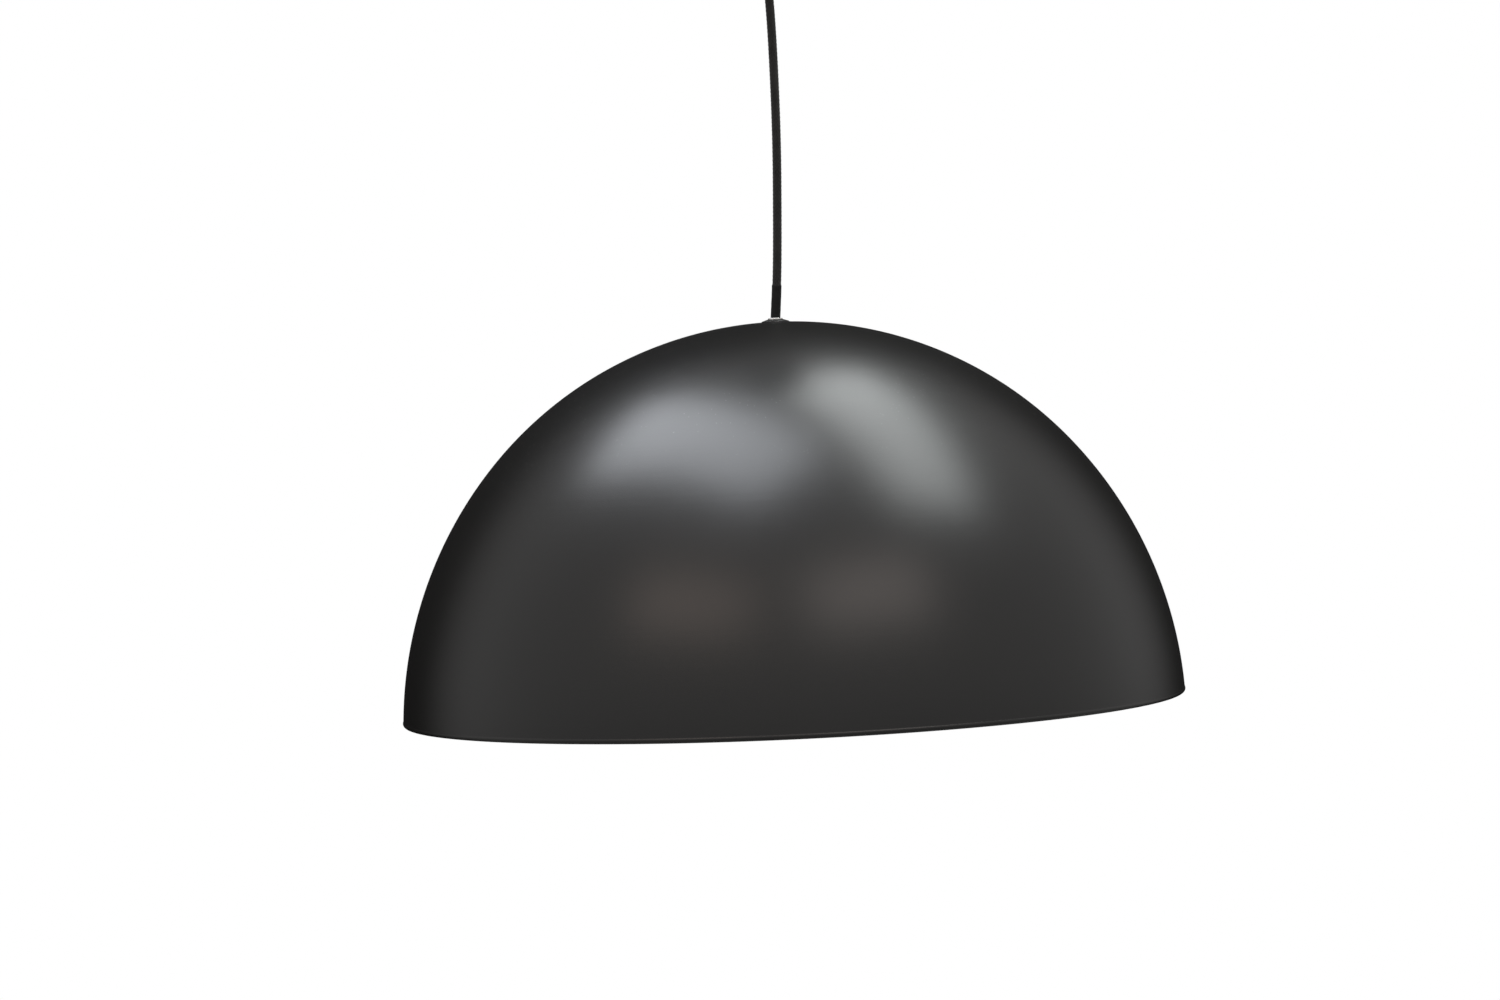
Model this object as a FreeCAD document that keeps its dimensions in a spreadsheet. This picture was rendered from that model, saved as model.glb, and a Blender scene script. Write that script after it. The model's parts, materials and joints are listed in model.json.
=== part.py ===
import FreeCAD, Part
import math
import os
import Sketcher

# A pendant ceiling light: a spun dome shade on a textile cord, under a ceiling canopy.
# Millimetres, +Z up. The origin is on the ceiling plane, midway between the bracket's two slots.

V = FreeCAD.Vector
UP = V(0, 0, 1)

DIMENSIONS = {
    # shade
    "drop": 545.0,              # ceiling to the shade's rim
    "shade_depth": 246.6,       # rim to the crown, outside
    "shade_sheet": 0.9,
    "side_arc": 262.0,          # radius of the shade's side, outside
    "side_arc_back": 12.0,      # how far its centre lies beyond the axis
    "side_arc_low": 10.0,       # how far its centre lies below the rim
    "crown_arc": 246.0,         # radius of the shade's crown, outside
    "hem_radius": 2.0,          # the rim is rolled inwards to this radius
    "hem_proud": 0.3,           # how far the roll stands out of the side
    "stem_hole": 5.1,
    # ceiling bracket
    "bracket_half": 47.9,
    "bracket_width": 20.0,
    "bracket_sheet": 1.5,
    "ear_width": 14.0,
    "ear_drop": 15.0,
    "slot_spacing": 60.0,
    "slot_length": 14.0,
    "slot_width": 4.8,
    "notch_width": 4.6,
    "bracket_corner": 3.0,
    # canopy cup
    "cup_radius": 50.0,
    "cup_height": 26.0,
    "cup_sheet": 1.0,
    "cup_gap": 0.5,             # between the ceiling and the cup's edge
    "cup_corner": 6.0,
    "side_screw_drop": 9.0,
    "side_screw_radius": 2.0,
    "side_screw_room": 0.2,     # its hole's radius over its own
    "side_screw_head": 4.0,
    "side_screw_head_height": 2.4,
    "side_screw_length": 8.0,
    "side_nut_width": 7.0,
    "side_nut_height": 2.6,
    "side_nut_gap": 0.3,        # between a nut and its ear
    # cord grip, under the cup
    "grip_radius": 8.0,
    "grip_drop": 12.0,
    "grip_mouth": 6.2,
    "grip_mouth_depth": 5.0,
    "grip_mouth_round": 0.4,
    "grip_nose_inset": 0.8,
    "grip_nose_height": 1.2,
    "grip_shoulder_round": 0.6,
    "grip_stem_radius": 5.0,
    "grip_stem": 8.0,
    "locknut_width": 15.0,
    "locknut_height": 3.0,
    # slotted set screws, in the cord grip and in the lampholder's neck
    "set_screw_radius": 1.5,
    "set_screw_slot": 0.5,
    "set_screw_slot_depth": 0.8,
    "grip_screw_proud": 0.6,
    "locking_screw_proud": 0.4,
    "locking_screw_drop": 3.0,
    # terminal block, beside the grip
    "block_y": 24.0,
    "block_low": 18.0,          # ceiling to its underside
    "block_length": 20.0,
    "block_width": 16.0,
    "block_height": 11.0,
    "block_corner": 1.0,
    "pole_x": 4.5,
    "pole_height": 5.0,
    "pole_sleeve_radius": 2.4,
    "pole_sleeve_length": 15.0,
    "pole_wire_radius": 1.5,
    "pole_well_radius": 1.9,
    "pole_screw_y": 4.2,
    "pole_screw_radius": 1.3,
    "pole_screw_head": 1.7,
    "pole_screw_length": 1.4,
    "pole_screw_gap": 0.2,
    # cord
    "cord_radius": 2.8,
    "cord_bore": 3.0,
    "sleeve_radius": 3.2,
    "bend_ball": 2.2,           # the cord's cores, where it bends
    "bend_gap": 0.2,
    "bend_reach": 1.0,          # from a bend's centre to the jacket on each side
    "swing_height": 3.0,        # height of the light's swing centre over the grip's mouth
    "root_length": 3.2,         # the stretch that twists inside the grip
    "root_gap": 0.2,
    "tail_proud": 1.0,          # how far the cord stands out of the grip, inside the canopy
    "end_proud": 4.0,           # and out of the collar's stem, inside the lampholder
    "lead_radius": 1.15,
    "lead_offset": 1.3,
    # collar on the crown
    "collar_radius": 9.0,
    "collar_top": 5.4,
    "collar_height": 1.7,
    "collar_mouth": 3.9,
    "collar_stem": 16.0,
    "collar_edge": 0.5,
    "collar_edge_round": 0.4,
    "collar_top_round": 0.3,
    "collar_floor": 0.2,
    "ring_radius": 4.7,
    "ring_height": 0.8,
    "ring_round": 0.3,
    "tilt_height": 1.4,         # height of the shade's tilt centre over the crown
    "stem_nut_width": 15.0,
    "stem_nut_height": 3.5,
    "washer_radius": 9.0,
    "washer_height": 1.0,
    "washer_round": 0.25,
    "washer_gap": 0.2,          # under the shade, which is curved there
    "lock_washer_radius": 7.6,
    "lock_washer_height": 0.8,
    "tooth_gap_radius": 0.7,
    "tooth_gap_ring": 7.8,
    # lampholder, E27
    "holder_radius": 19.5,
    "holder_neck": 8.5,
    "holder_wall": 2.0,
    "holder_top": 7.0,          # crown to the holder's neck
    "cap_height": 23.0,
    "cap_shoulder": 14.0,       # each measured down from the cap's top
    "cap_neck": 6.0,
    "cap_tap": 7.0,
    "cap_throat": 8.2,
    "cap_inset": 1.0,
    "shoulder_round": 4.0,
    "neck_round": 2.0,
    "neck_top_round": 0.8,
    "seam_round": 0.5,
    "holder_length": 59.0,
    "barrel_taper_low": 1.5,
    "barrel_taper_high": 0.5,
    "barrel_rim": 5.0,
    "barrel_rim_step": 1.0,
    "barrel_low_round": 1.2,
    "barrel_mouth_round": 0.8,
    "barrel_rim_round": 0.4,
    "insert_radius": 17.2,
    "insert_height": 9.0,
    "insert_well_length": 12.0,
    "insert_well_width": 6.0,
    "insert_well_depth": 5.0,
    "terminal_x": 8.5,
    "terminal_tap_depth": 7.5,
    "terminal_screw_radius": 1.4,
    "terminal_screw_head": 2.4,
    "terminal_screw_head_height": 1.6,
    "terminal_screw_length": 3.4,
    "plate_length": 11.0,
    "plate_width": 5.6,
    "plate_sheet": 0.8,
    "touch_gap": 0.05,
    "contact_sheet": 0.5,
    "contact_width": 5.0,
    "contact_leaf_length": 11.0,
    "contact_leaf_x": 2.0,
    "contact_button_radius": 2.2,
    "contact_drop": 2.2,        # insert to the centre contact's face
    "side_contact_foot": 4.5,
    "side_contact_reach": 13.65,
    "side_contact_drop": 1.8,
    "clamp_drop": 12.2,         # the holder's top to the clamp bar
    "clamp_boss_radius": 2.4,
    "clamp_boss_height": 3.6,
    "clamp_tap_radius": 1.25,
    "clamp_tap_depth": 3.4,
    "clamp_screw_x": 6.5,
    "clamp_screw_y": 5.05,
    "clamp_screw_radius": 1.2,
    "clamp_screw_room": 0.1,
    "clamp_screw_head": 2.1,
    "clamp_screw_head_height": 1.2,
    "clamp_screw_bite": 3.2,
    "clamp_bar": 1.6,
    "clamp_bar_length": 17.4,
    "clamp_bar_width": 4.4,
    "clamp_bar_corner": 1.6,
    "shell_radius": 14.2,
    "shell_height": 21.0,
    "shell_bore": 13.35,
    "shell_room": 0.3,
    "lead_straight": 2.8,
    "lead_y": 4.4,
    "lead_turn_height": 2.2,    # over the seam between the holder's cap and sleeve
    "lead_end_depth": 3.8,
    # lamp, A60 on an E27 cap
    "tip_face": 3.2,
    "tip_radius": 4.6,
    "tip_edge": 0.5,
    "tip_round": 0.3,
    "tip_height": 1.4,
    "insulator_face": 4.8,
    "insulator_radius": 11.0,
    "insulator_edge": 0.8,
    "insulator_round": 0.4,
    "insulator_height": 4.6,
    "thread_pitch": 3.629,
    "thread_land": 0.5,
    "thread_flank": 0.9,
    "cap_crest": 13.05,         # rolled thread, outside
    "cap_root": 12.3,
    "cap_bore": 11.4,
    "cap_skirt": 4.5,
    "cap_skirt_radius": 12.9,
    "cap_skirt_edge": 0.4,
    "cap_top_land": 0.6,
    "cap_lip": 1.2,
    "cap_lip_width": 0.5,
    "cap_lip_depth": 1.0,
    "cap_lip_inset": 0.35,
    "bulb_radius": 30.0,
    "bulb_length": 105.0,
    "bulb_neck": 11.3,
    "bulb_neck_straight": 3.0,  # below the cap
    "bulb_tuck": 5.0,           # into the cap
    "glass_wall": 0.7,
    "stem_drop": 22.0,          # the cap's skirt to the glass stem's foot
    "stem_rod_radius": 2.2,
    "stem_rod_height": 16.0,
    "stem_flare_radius": 9.6,
    "stem_flare_height": 25.0,
    "stem_full_height": 26.5,
    "stem_foot_round": 1.2,
    "stem_flare_round": 3.0,
    "stick_radius": 1.0,
    "stick_foot_radius": 9.0,   # from the axis
    "stick_head_radius": 4.4,
    "stick_foot_depth": 22.0,   # below the glass stem's foot
    "stick_head_height": 10.0,
    "wire_radius": 0.25,
    "hub_wire_radius": 0.35,
}

CAP_TURNS = 4
TOOTH_GAPS = 12
FILAMENTS = 4
BULB_SHOULDER = 28              # degrees above the ball's middle, where its shoulder leaves it
BULB_FULLNESS = 0.42            # how far the shoulder keeps each end's direction

# The cord's route in the XZ plane, from the lower bend to the upper bend: x, height above the crown.
CORD_ROUTE = [(1.5, 17.0), (3.1, 40.0), (4.6, 72.0), (6.2, 112.0), (6.7, 155.0),
              (6.3, 200.0), (4.6, 228.0), (1.0, 250.0)]

# A lead's route in the canopy: share of the way sideways to its pole, y, height above the cord's tail.
LEAD_ROUTE = [(0.0, 0.0, 0.0), (0.0, 0.0, 4.5), (0.49, 5.0, 6.0), (1.0, 12.0, 4.0), (1.0, 19.0, 3.0)]


class Size:
    """A length together with the spreadsheet expression that gives it."""

    def __init__(self, text, value):
        self.text = text
        self.value = value

    def joined(self, sign, other, value):
        return Size("(%s %s %s)" % (self.text, sign, other.text), value)

    def __add__(self, other):
        other = as_size(other)
        return self.joined("+", other, self.value + other.value)

    def __sub__(self, other):
        other = as_size(other)
        return self.joined("-", other, self.value - other.value)

    def __mul__(self, number):
        other = as_size(number)
        return self.joined("*", other, self.value * other.value)

    def __neg__(self):
        return Size("(0 - %s)" % self.text, -self.value)


def as_size(length):
    return length if isinstance(length, Size) else Size(repr(float(length)), float(length))


class Sheet:
    """The driving dimensions: each becomes a spreadsheet cell with an alias, and a Size here."""

    def __init__(self, doc):
        cells = doc.addObject("Spreadsheet::Sheet", "Dimensions")
        for row, (alias, value) in enumerate(DIMENSIONS.items(), 1):
            cells.set("A%d" % row, alias)
            cells.set("B%d" % row, str(value))
            cells.setAlias("B%d" % row, alias)
            setattr(self, alias, Size("Dimensions." + alias, value))


doc = FreeCAD.newDocument("pendant_light")
dim = Sheet(doc)
doc.recompute()
parts = []


# ---------------------------------------------------------------- helpers

def bind(thing, prop, length):
    """Set one property of an object from the sheet."""
    thing.setExpression(prop, as_size(length).text)


def place(thing, x=0.0, y=0.0, z=0.0, turn=None):
    """Put an object in the light, its position bound to the sheet; turn is (axis, degrees)."""
    rotation = FreeCAD.Rotation(*turn) if turn else FreeCAD.Rotation()
    spot = [as_size(length) for length in (x, y, z)]
    thing.Placement = FreeCAD.Placement(V(*[length.value for length in spot]), rotation)
    for letter, length in zip("xyz", spot):
        bind(thing, ".Placement.Base." + letter, length)
    return thing


def part(thing, label):
    """Keep an object as a sub-part of the light: its label names its file."""
    thing.Label = label
    parts.append(thing)
    return thing


def origin_plane(body, role):
    return [item for item in body.Origin.OriginFeatures if item.Role == role][0]


def new_sketch(body, role):
    sketch = body.newObject("Sketcher::SketchObject", body.Name + "_outline")
    sketch.AttachmentSupport = [(origin_plane(body, role), "")]
    sketch.MapMode = "FlatFace"
    return sketch


def pin(sketch, edge, end, x, y):
    """Hold one point of a sketch at x, y from its origin."""
    for kind, axis, length in (("DistanceX", -2, as_size(x)), ("DistanceY", -1, as_size(y))):
        if length.value == 0.0:
            sketch.addConstraint(Sketcher.Constraint("PointOnObject", edge, end, axis))
            continue
        points = (-1, 1, edge, end) if length.value > 0.0 else (edge, end, -1, 1)
        span = length if length.value > 0.0 else -length
        index = sketch.addConstraint(Sketcher.Constraint(kind, *points, span.value))
        bind(sketch, "Constraints[%d]" % index, span)


def outline(sketch, corners):
    """A closed outline of straight edges through corners, each an (x, y) of lengths."""
    count = len(corners)
    spots = [V(as_size(x).value, as_size(y).value, 0) for x, y in corners]
    for index in range(count):
        sketch.addGeometry(Part.LineSegment(spots[index], spots[(index + 1) % count]), False)
    for index in range(count):
        sketch.addConstraint(Sketcher.Constraint("Coincident", index, 2, (index + 1) % count, 1))
    for index, (x, y) in enumerate(corners):
        pin(sketch, index, 1, x, y)


def revolve(body, sketch):
    solid = body.newObject("PartDesign::Revolution", body.Name + "_turned")
    solid.Profile = sketch
    solid.ReferenceAxis = (sketch, ["V_Axis"])
    solid.Angle = 360.0
    sketch.Visibility = False
    return solid


def circle_edges(shape, radius, height):
    """The names of the round edges about Z that have this radius and height."""
    names = []
    for index, edge in enumerate(shape.Edges, 1):
        curve = edge.Curve
        if isinstance(curve, Part.Circle) and abs(curve.Radius - radius) < 0.01 \
                and abs(curve.Center.z - height) < 0.01 and math.hypot(curve.Center.x, curve.Center.y) < 0.01:
            names.append("Edge%d" % index)
    return names


def turned_body(name, corners, rounds=()):
    """A body turned about Z from an outline of (radius, height); rounds are (radius, height, fillet)."""
    body = doc.addObject("PartDesign::Body", name)
    sketch = new_sketch(body, "XZ_Plane")
    outline(sketch, corners)
    solid = revolve(body, sketch)
    for number, (radius, height, fillet) in enumerate(rounds):
        doc.recompute()
        edges = circle_edges(solid.Shape, as_size(radius).value, as_size(height).value)
        softened = body.newObject("PartDesign::Fillet", "%s_round%d" % (name, number))
        softened.Base = (solid, edges)
        bind(softened, "Radius", fillet)
        solid = softened
    return body


def turned(label, corners, rounds=()):
    """A turned body that is a sub-part of its own."""
    return part(turned_body(label, corners, rounds), label)


def ring_corners(inner, outer, low, high):
    return [(inner, low), (outer, low), (outer, high), (inner, high)]


def cylinder(name, radius, height, **where):
    solid = doc.addObject("Part::Cylinder", name)
    bind(solid, "Radius", radius)
    bind(solid, "Height", height)
    return place(solid, **where)


def sphere(name, radius, **where):
    solid = doc.addObject("Part::Sphere", name)
    bind(solid, "Radius", radius)
    return place(solid, **where)


def block(name, length, width, height, x=0.0, y=0.0, z=0.0):
    """A box centred on x and y, standing on z."""
    solid = doc.addObject("Part::Box", name)
    for prop, size in (("Length", length), ("Width", width), ("Height", height)):
        bind(solid, prop, size)
    return place(solid, as_size(x) - as_size(length) * 0.5, as_size(y) - as_size(width) * 0.5, z)


def hexagon(name, width, height, **where):
    """A nut blank, width across its flats."""
    solid = doc.addObject("Part::Prism", name)
    solid.Polygon = 6
    bind(solid, "Circumradius", as_size(width) * (1 / math.sqrt(3.0)))
    bind(solid, "Height", height)
    return place(solid, **where)


def cut(name, base, tool):
    result = doc.addObject("Part::Cut", name)
    result.Base = base
    result.Tool = tool
    return result


def fuse(name, *solids):
    result = doc.addObject("Part::MultiFuse", name)
    result.Shapes = list(solids)
    return result


def group(name, solids):
    """Alike loose pieces kept together as one sub-part of separate solids."""
    result = doc.addObject("Part::Compound", name)
    result.Links = list(solids)
    return part(result, name)


def rounded(name, base, radius, test):
    """Fillet every edge of base whose middle passes the test."""
    doc.recompute()
    result = doc.addObject("Part::Fillet", name)
    result.Base = base
    chosen = [index for index, edge in enumerate(base.Shape.Edges, 1)
              if test(edge.valueAt((edge.FirstParameter + edge.LastParameter) / 2), edge)]
    result.Edges = [(index, radius, radius) for index in chosen]
    return result


def slotted_screw(name, head_radius, head_height, shank_radius, length, **where):
    """A cheese-head screw: the underside of its head at the origin, its shank down -Z."""
    head = cylinder(name + "_head", head_radius, head_height)
    shank = cylinder(name + "_shank", shank_radius, length, z=-as_size(length))
    slot = block(name + "_slot", head_radius * 2.4, head_radius * 0.36, head_height,
                 z=as_size(head_height) * 0.55)
    return place(cut(name, fuse(name + "_blank", head, shank), slot), **where)


def set_screw(label, length, **where):
    """A headless slotted screw, a sub-part: its slotted end at the origin, its shank down -Z."""
    blank = cylinder(label + "_blank", dim.set_screw_radius, length, z=-length)
    slot = block(label + "_slot", dim.set_screw_radius * 3, dim.set_screw_slot, dim.set_screw_slot_depth * 2,
                 z=-dim.set_screw_slot_depth)
    return part(place(cut(label, blank, slot), **where), label)


def shaped(label, shape, **where):
    """A sub-part whose shape Part's own functions make."""
    thing = doc.addObject("Part::Feature", label)
    thing.Shape = shape
    place(thing, **where)
    return part(thing, label)


def rounded_path(points):
    """Straight runs joined by tangent arcs, each as large as its two runs allow."""
    edges = []
    radii = []
    start = points[0]
    for before, corner, after in zip(points, points[1:], points[2:]):
        inward = (corner - before).normalize()
        onward = (after - corner).normalize()
        turn = inward.getAngle(onward)
        reach = 0.45 * min((corner - before).Length, (after - corner).Length)
        radii.append(reach / math.tan(turn / 2))
        first = corner - inward * reach
        last = corner + onward * reach
        bisector = (onward - inward).normalize()
        middle = corner + bisector * (radii[-1] * (1 / math.cos(turn / 2) - 1))
        edges.append(Part.LineSegment(start, first).toShape())
        edges.append(Part.Arc(first, middle, last).toShape())
        start = last
    edges.append(Part.LineSegment(start, points[-1]).toShape())
    return edges, radii


def tube(edges, radius):
    """A round solid swept along joined edges."""
    path = Part.Wire(edges)
    start = edges[0].valueAt(edges[0].FirstParameter)
    heading = edges[0].tangentAt(edges[0].FirstParameter)
    section = Part.Wire([Part.Circle(start, heading, radius).toShape()])
    return path.makePipeShell([section], True, False)


def lead(label, points):
    """A lead of the cord along straight runs joined by arcs."""
    edges, radii = rounded_path(points)
    return shaped(label, tube(edges, dim.lead_radius.value))


# ---------------------------------------------------------------- heights down the light

crown = -(dim.drop - dim.shade_depth)
grip_mouth_z = -(dim.cup_height + dim.grip_drop)
swing_z = grip_mouth_z + dim.swing_height
tilt_z = crown + dim.tilt_height


# ---------------------------------------------------------------- ceiling bracket and canopy

def mounting_bracket():
    """A strip screwed to the ceiling, with a notched ear folded down at each end."""
    strip = block("bracket_strip", dim.bracket_half * 2, dim.bracket_width, dim.bracket_sheet,
                  z=-dim.bracket_sheet)
    solids = [strip]
    tools = []
    for side, name in ((-1, "left"), (1, "right")):
        ear_x = (dim.bracket_half - dim.bracket_sheet * 0.5) * side
        solids.append(block("bracket_ear_" + name, dim.bracket_sheet, dim.ear_width, dim.ear_drop,
                            x=ear_x, z=-dim.ear_drop))
        notch_height = dim.ear_drop - dim.side_screw_drop
        tools.append(block("bracket_notch_" + name, dim.bracket_sheet * 3, dim.notch_width, notch_height,
                           x=ear_x, z=-dim.ear_drop))
        tools.append(cylinder("bracket_notch_end_" + name, dim.notch_width * 0.5, dim.bracket_sheet * 3,
                              x=ear_x - dim.bracket_sheet * 1.5, z=-dim.side_screw_drop,
                              turn=(V(0, 1, 0), 90)))
        slot_x = dim.slot_spacing * (0.5 * side)
        straight = dim.slot_length - dim.slot_width
        tools.append(block("bracket_slot_" + name, straight, dim.slot_width, dim.bracket_sheet * 3,
                           x=slot_x, z=dim.bracket_sheet * -2))
        for end in (-1, 1):
            tools.append(cylinder("bracket_slot_end_%s%d" % (name, end + 1), dim.slot_width * 0.5,
                                  dim.bracket_sheet * 3, x=slot_x + straight * (0.5 * end),
                                  z=dim.bracket_sheet * -2))
    blank = rounded("bracket_rounded", fuse("bracket_blank", *solids), dim.bracket_corner.value,
                    lambda middle, edge: abs(edge.Length - dim.bracket_sheet.value) < 0.01
                    and abs(abs(middle.y) - dim.bracket_width.value / 2) < 0.01)
    part(cut("mounting_bracket", blank, fuse("bracket_cuts", *tools)), "mounting_bracket")


def canopy_cup():
    """A pressed cup with a rounded bottom edge, a hole for the grip and two for the side screws."""
    body = doc.addObject("PartDesign::Body", "canopy_cup")
    sketch = new_sketch(body, "XZ_Plane")
    wall = dim.cup_sheet
    height = dim.cup_height - dim.cup_gap
    hole = dim.stem_hole
    outline(sketch, [(hole, 0.0), (dim.cup_radius, 0.0), (dim.cup_radius, height),
                     (dim.cup_radius - wall, height), (dim.cup_radius - wall, wall), (hole, wall)])
    solid = revolve(body, sketch)
    for name, radius, low, fillet in (("outer", dim.cup_radius, 0.0, dim.cup_corner),
                                      ("inner", dim.cup_radius - wall, wall, dim.cup_corner - wall)):
        doc.recompute()
        bent = body.newObject("PartDesign::Fillet", "cup_bend_" + name)
        bent.Base = (solid, circle_edges(solid.Shape, radius.value, as_size(low).value))
        bind(bent, "Radius", fillet)
        solid = bent
    holes = body.newObject("Sketcher::SketchObject", "cup_screw_holes")
    holes.AttachmentSupport = [(origin_plane(body, "YZ_Plane"), "")]
    holes.MapMode = "FlatFace"
    radius = dim.side_screw_radius + dim.side_screw_room
    level = dim.cup_height - dim.side_screw_drop
    holes.addGeometry(Part.Circle(V(0, level.value, 0), UP, radius.value), False)
    pin(holes, 0, 3, 0.0, level)
    index = holes.addConstraint(Sketcher.Constraint("Radius", 0, radius.value))
    bind(holes, "Constraints[%d]" % index, radius)
    pocket = body.newObject("PartDesign::Pocket", "cup_screw_hole_pair")
    pocket.Profile = holes
    pocket.Type = "ThroughAll"
    pocket.Midplane = True
    doc.recompute()
    if pocket.Shape.Volume >= solid.Shape.Volume - 1.0:
        raise RuntimeError("the cup's screw holes cut nothing")
    part(place(body, z=-dim.cup_height), "canopy_cup")


def canopy_screws():
    """Two side screws through the cup into square nuts behind the bracket's ears."""
    screws = []
    nuts = []
    width = dim.side_nut_width
    for side, name in ((-1, "left"), (1, "right")):
        screws.append(slotted_screw("canopy_screw_" + name, dim.side_screw_head, dim.side_screw_head_height,
                                    dim.side_screw_radius, dim.side_screw_length,
                                    x=dim.cup_radius * side, z=-dim.side_screw_drop,
                                    turn=(V(0, side, 0), 90)))
        ear_inside = dim.bracket_half - dim.bracket_sheet
        nut_x = (ear_inside - dim.side_nut_gap - dim.side_nut_height * 0.5) * side
        blank = block("canopy_nut_blank_" + name, dim.side_nut_height, width, width,
                      x=nut_x, z=-(dim.side_screw_drop + width * 0.5))
        bore = cylinder("canopy_nut_bore_" + name, dim.side_screw_radius, dim.side_nut_height * 3,
                        x=nut_x - dim.side_nut_height * 1.5, z=-dim.side_screw_drop,
                        turn=(V(0, 1, 0), 90))
        nuts.append(cut("canopy_nut_" + name, blank, bore))
    group("canopy_screws", screws)
    group("canopy_nuts", nuts)


def cord_grip():
    """The threaded nose under the cup that holds the cord, with its locknut and grip screw."""
    stem_top = dim.grip_drop + dim.cup_sheet + dim.grip_stem
    nose = turned_body("cord_grip_nose", [
        (dim.grip_mouth, 0.0), (dim.grip_radius - dim.grip_nose_inset, 0.0),
        (dim.grip_radius, dim.grip_nose_height), (dim.grip_radius, dim.grip_drop),
        (dim.grip_stem_radius, dim.grip_drop), (dim.grip_stem_radius, stem_top),
        (dim.cord_bore, stem_top), (dim.cord_bore, dim.grip_mouth_depth)],
        rounds=[(dim.grip_mouth, 0.0, dim.grip_mouth_round),
                (dim.grip_radius, dim.grip_drop, dim.grip_shoulder_round)])
    place(nose, z=grip_mouth_z)
    screw_z = -(dim.cup_height + dim.grip_drop * 0.25)
    hole = cylinder("grip_screw_hole", dim.set_screw_radius, dim.grip_radius * 1.2, x=dim.cord_radius,
                    z=screw_z, turn=(V(0, 1, 0), 90))
    part(cut("cord_grip", nose, hole), "cord_grip")
    set_screw("cord_grip_screw", dim.grip_radius - dim.cord_radius + dim.grip_screw_proud,
              x=dim.grip_radius + dim.grip_screw_proud, z=screw_z, turn=(V(0, 1, 0), 90))
    nut_z = -(dim.cup_height - dim.cup_sheet)
    nut = hexagon("locknut_blank", dim.locknut_width, dim.locknut_height, z=nut_z)
    bore = cylinder("locknut_bore", dim.grip_stem_radius, dim.locknut_height, z=nut_z)
    part(cut("cord_grip_locknut", nut, bore), "cord_grip_locknut")


def terminal_block():
    """A two-pole block beside the grip, with a brass sleeve and two screws for each pole."""
    low = -dim.block_low
    pole_z = low + dim.pole_height
    through = dim.block_width * 1.25
    blank = block("terminal_body_blank", dim.block_length, dim.block_width, dim.block_height,
                  y=dim.block_y, z=low)
    body = rounded("terminal_body_rounded", blank, dim.block_corner.value,
                   lambda middle, edge: abs(edge.Length - dim.block_height.value) < 0.01)

    def along_pole(name, radius, length, x):
        """A round bar along a pole, centred on the block."""
        return cylinder(name, radius, length, x=x, y=dim.block_y + length * 0.5, z=pole_z,
                        turn=(V(1, 0, 0), 90))

    tools = []
    sleeves = []
    screws = []
    for side, name in ((-1, "brown"), (1, "blue")):
        x = dim.pole_x * side
        tools.append(along_pole("terminal_bore_" + name, dim.pole_sleeve_radius, through, x))
        sleeve = along_pole("terminal_sleeve_blank_" + name, dim.pole_sleeve_radius,
                            dim.pole_sleeve_length, x)
        holes = [along_pole("terminal_sleeve_bore_" + name, dim.pole_wire_radius, through, x)]
        for row in (-1, 1):
            y = dim.block_y + dim.pole_screw_y * row
            key = "%s%d" % (name, row + 1)
            tap = dim.pole_wire_radius * 2
            tools.append(cylinder("terminal_well_" + key, dim.pole_well_radius, dim.block_height,
                                  x=x, y=y, z=low - dim.pole_height))
            holes.append(cylinder("terminal_tap_" + key, dim.pole_screw_radius, tap,
                                  x=x, y=y, z=pole_z - tap))
            screws.append(slotted_screw("terminal_screw_" + key, dim.pole_screw_head, dim.pole_screw_length,
                                        dim.pole_screw_radius, dim.pole_screw_length, x=x, y=y,
                                        z=pole_z - dim.pole_sleeve_radius - dim.pole_screw_gap,
                                        turn=(V(1, 0, 0), 180)))
        sleeves.append(cut("terminal_sleeve_" + name, sleeve, fuse("terminal_holes_" + name, *holes)))
    part(cut("terminal_block", body, fuse("terminal_cuts", *tools)), "terminal_block")
    group("terminal_sleeves", sleeves)
    group("terminal_screws", screws)


def canopy_leads():
    """The cord's tail in the grip, and its two leads bent over to the terminal block."""
    tail_top = -(dim.cup_height - dim.cup_sheet - dim.grip_stem - dim.tail_proud)
    tail_low = swing_z + dim.bend_reach + dim.root_length + dim.root_gap
    part(cylinder("cord_tail", dim.cord_radius, tail_top - tail_low, z=tail_low), "cord_tail")
    core_x = dim.lead_offset.value
    for side, name in ((-1, "brown"), (1, "blue")):
        lead("canopy_lead_" + name,
             [V(side * (core_x + share * (dim.pole_x.value - core_x)), y, tail_top.value + height)
              for share, y, height in LEAD_ROUTE])


# ---------------------------------------------------------------- cord

def bend(name, centre_z, upper, lower):
    """A bend of the cord: a ball of its cores between two jacket ends that are hollowed to clear it."""
    part(sphere(name, dim.bend_ball, z=centre_z), name)
    clearance = dim.bend_ball + dim.bend_gap
    results = []
    for label, solid in (upper, lower):
        hollow = sphere(label + "_hollow_" + name, clearance, z=centre_z)
        results.append(cut(label + "_at_" + name, solid, hollow))
    return results


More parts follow.
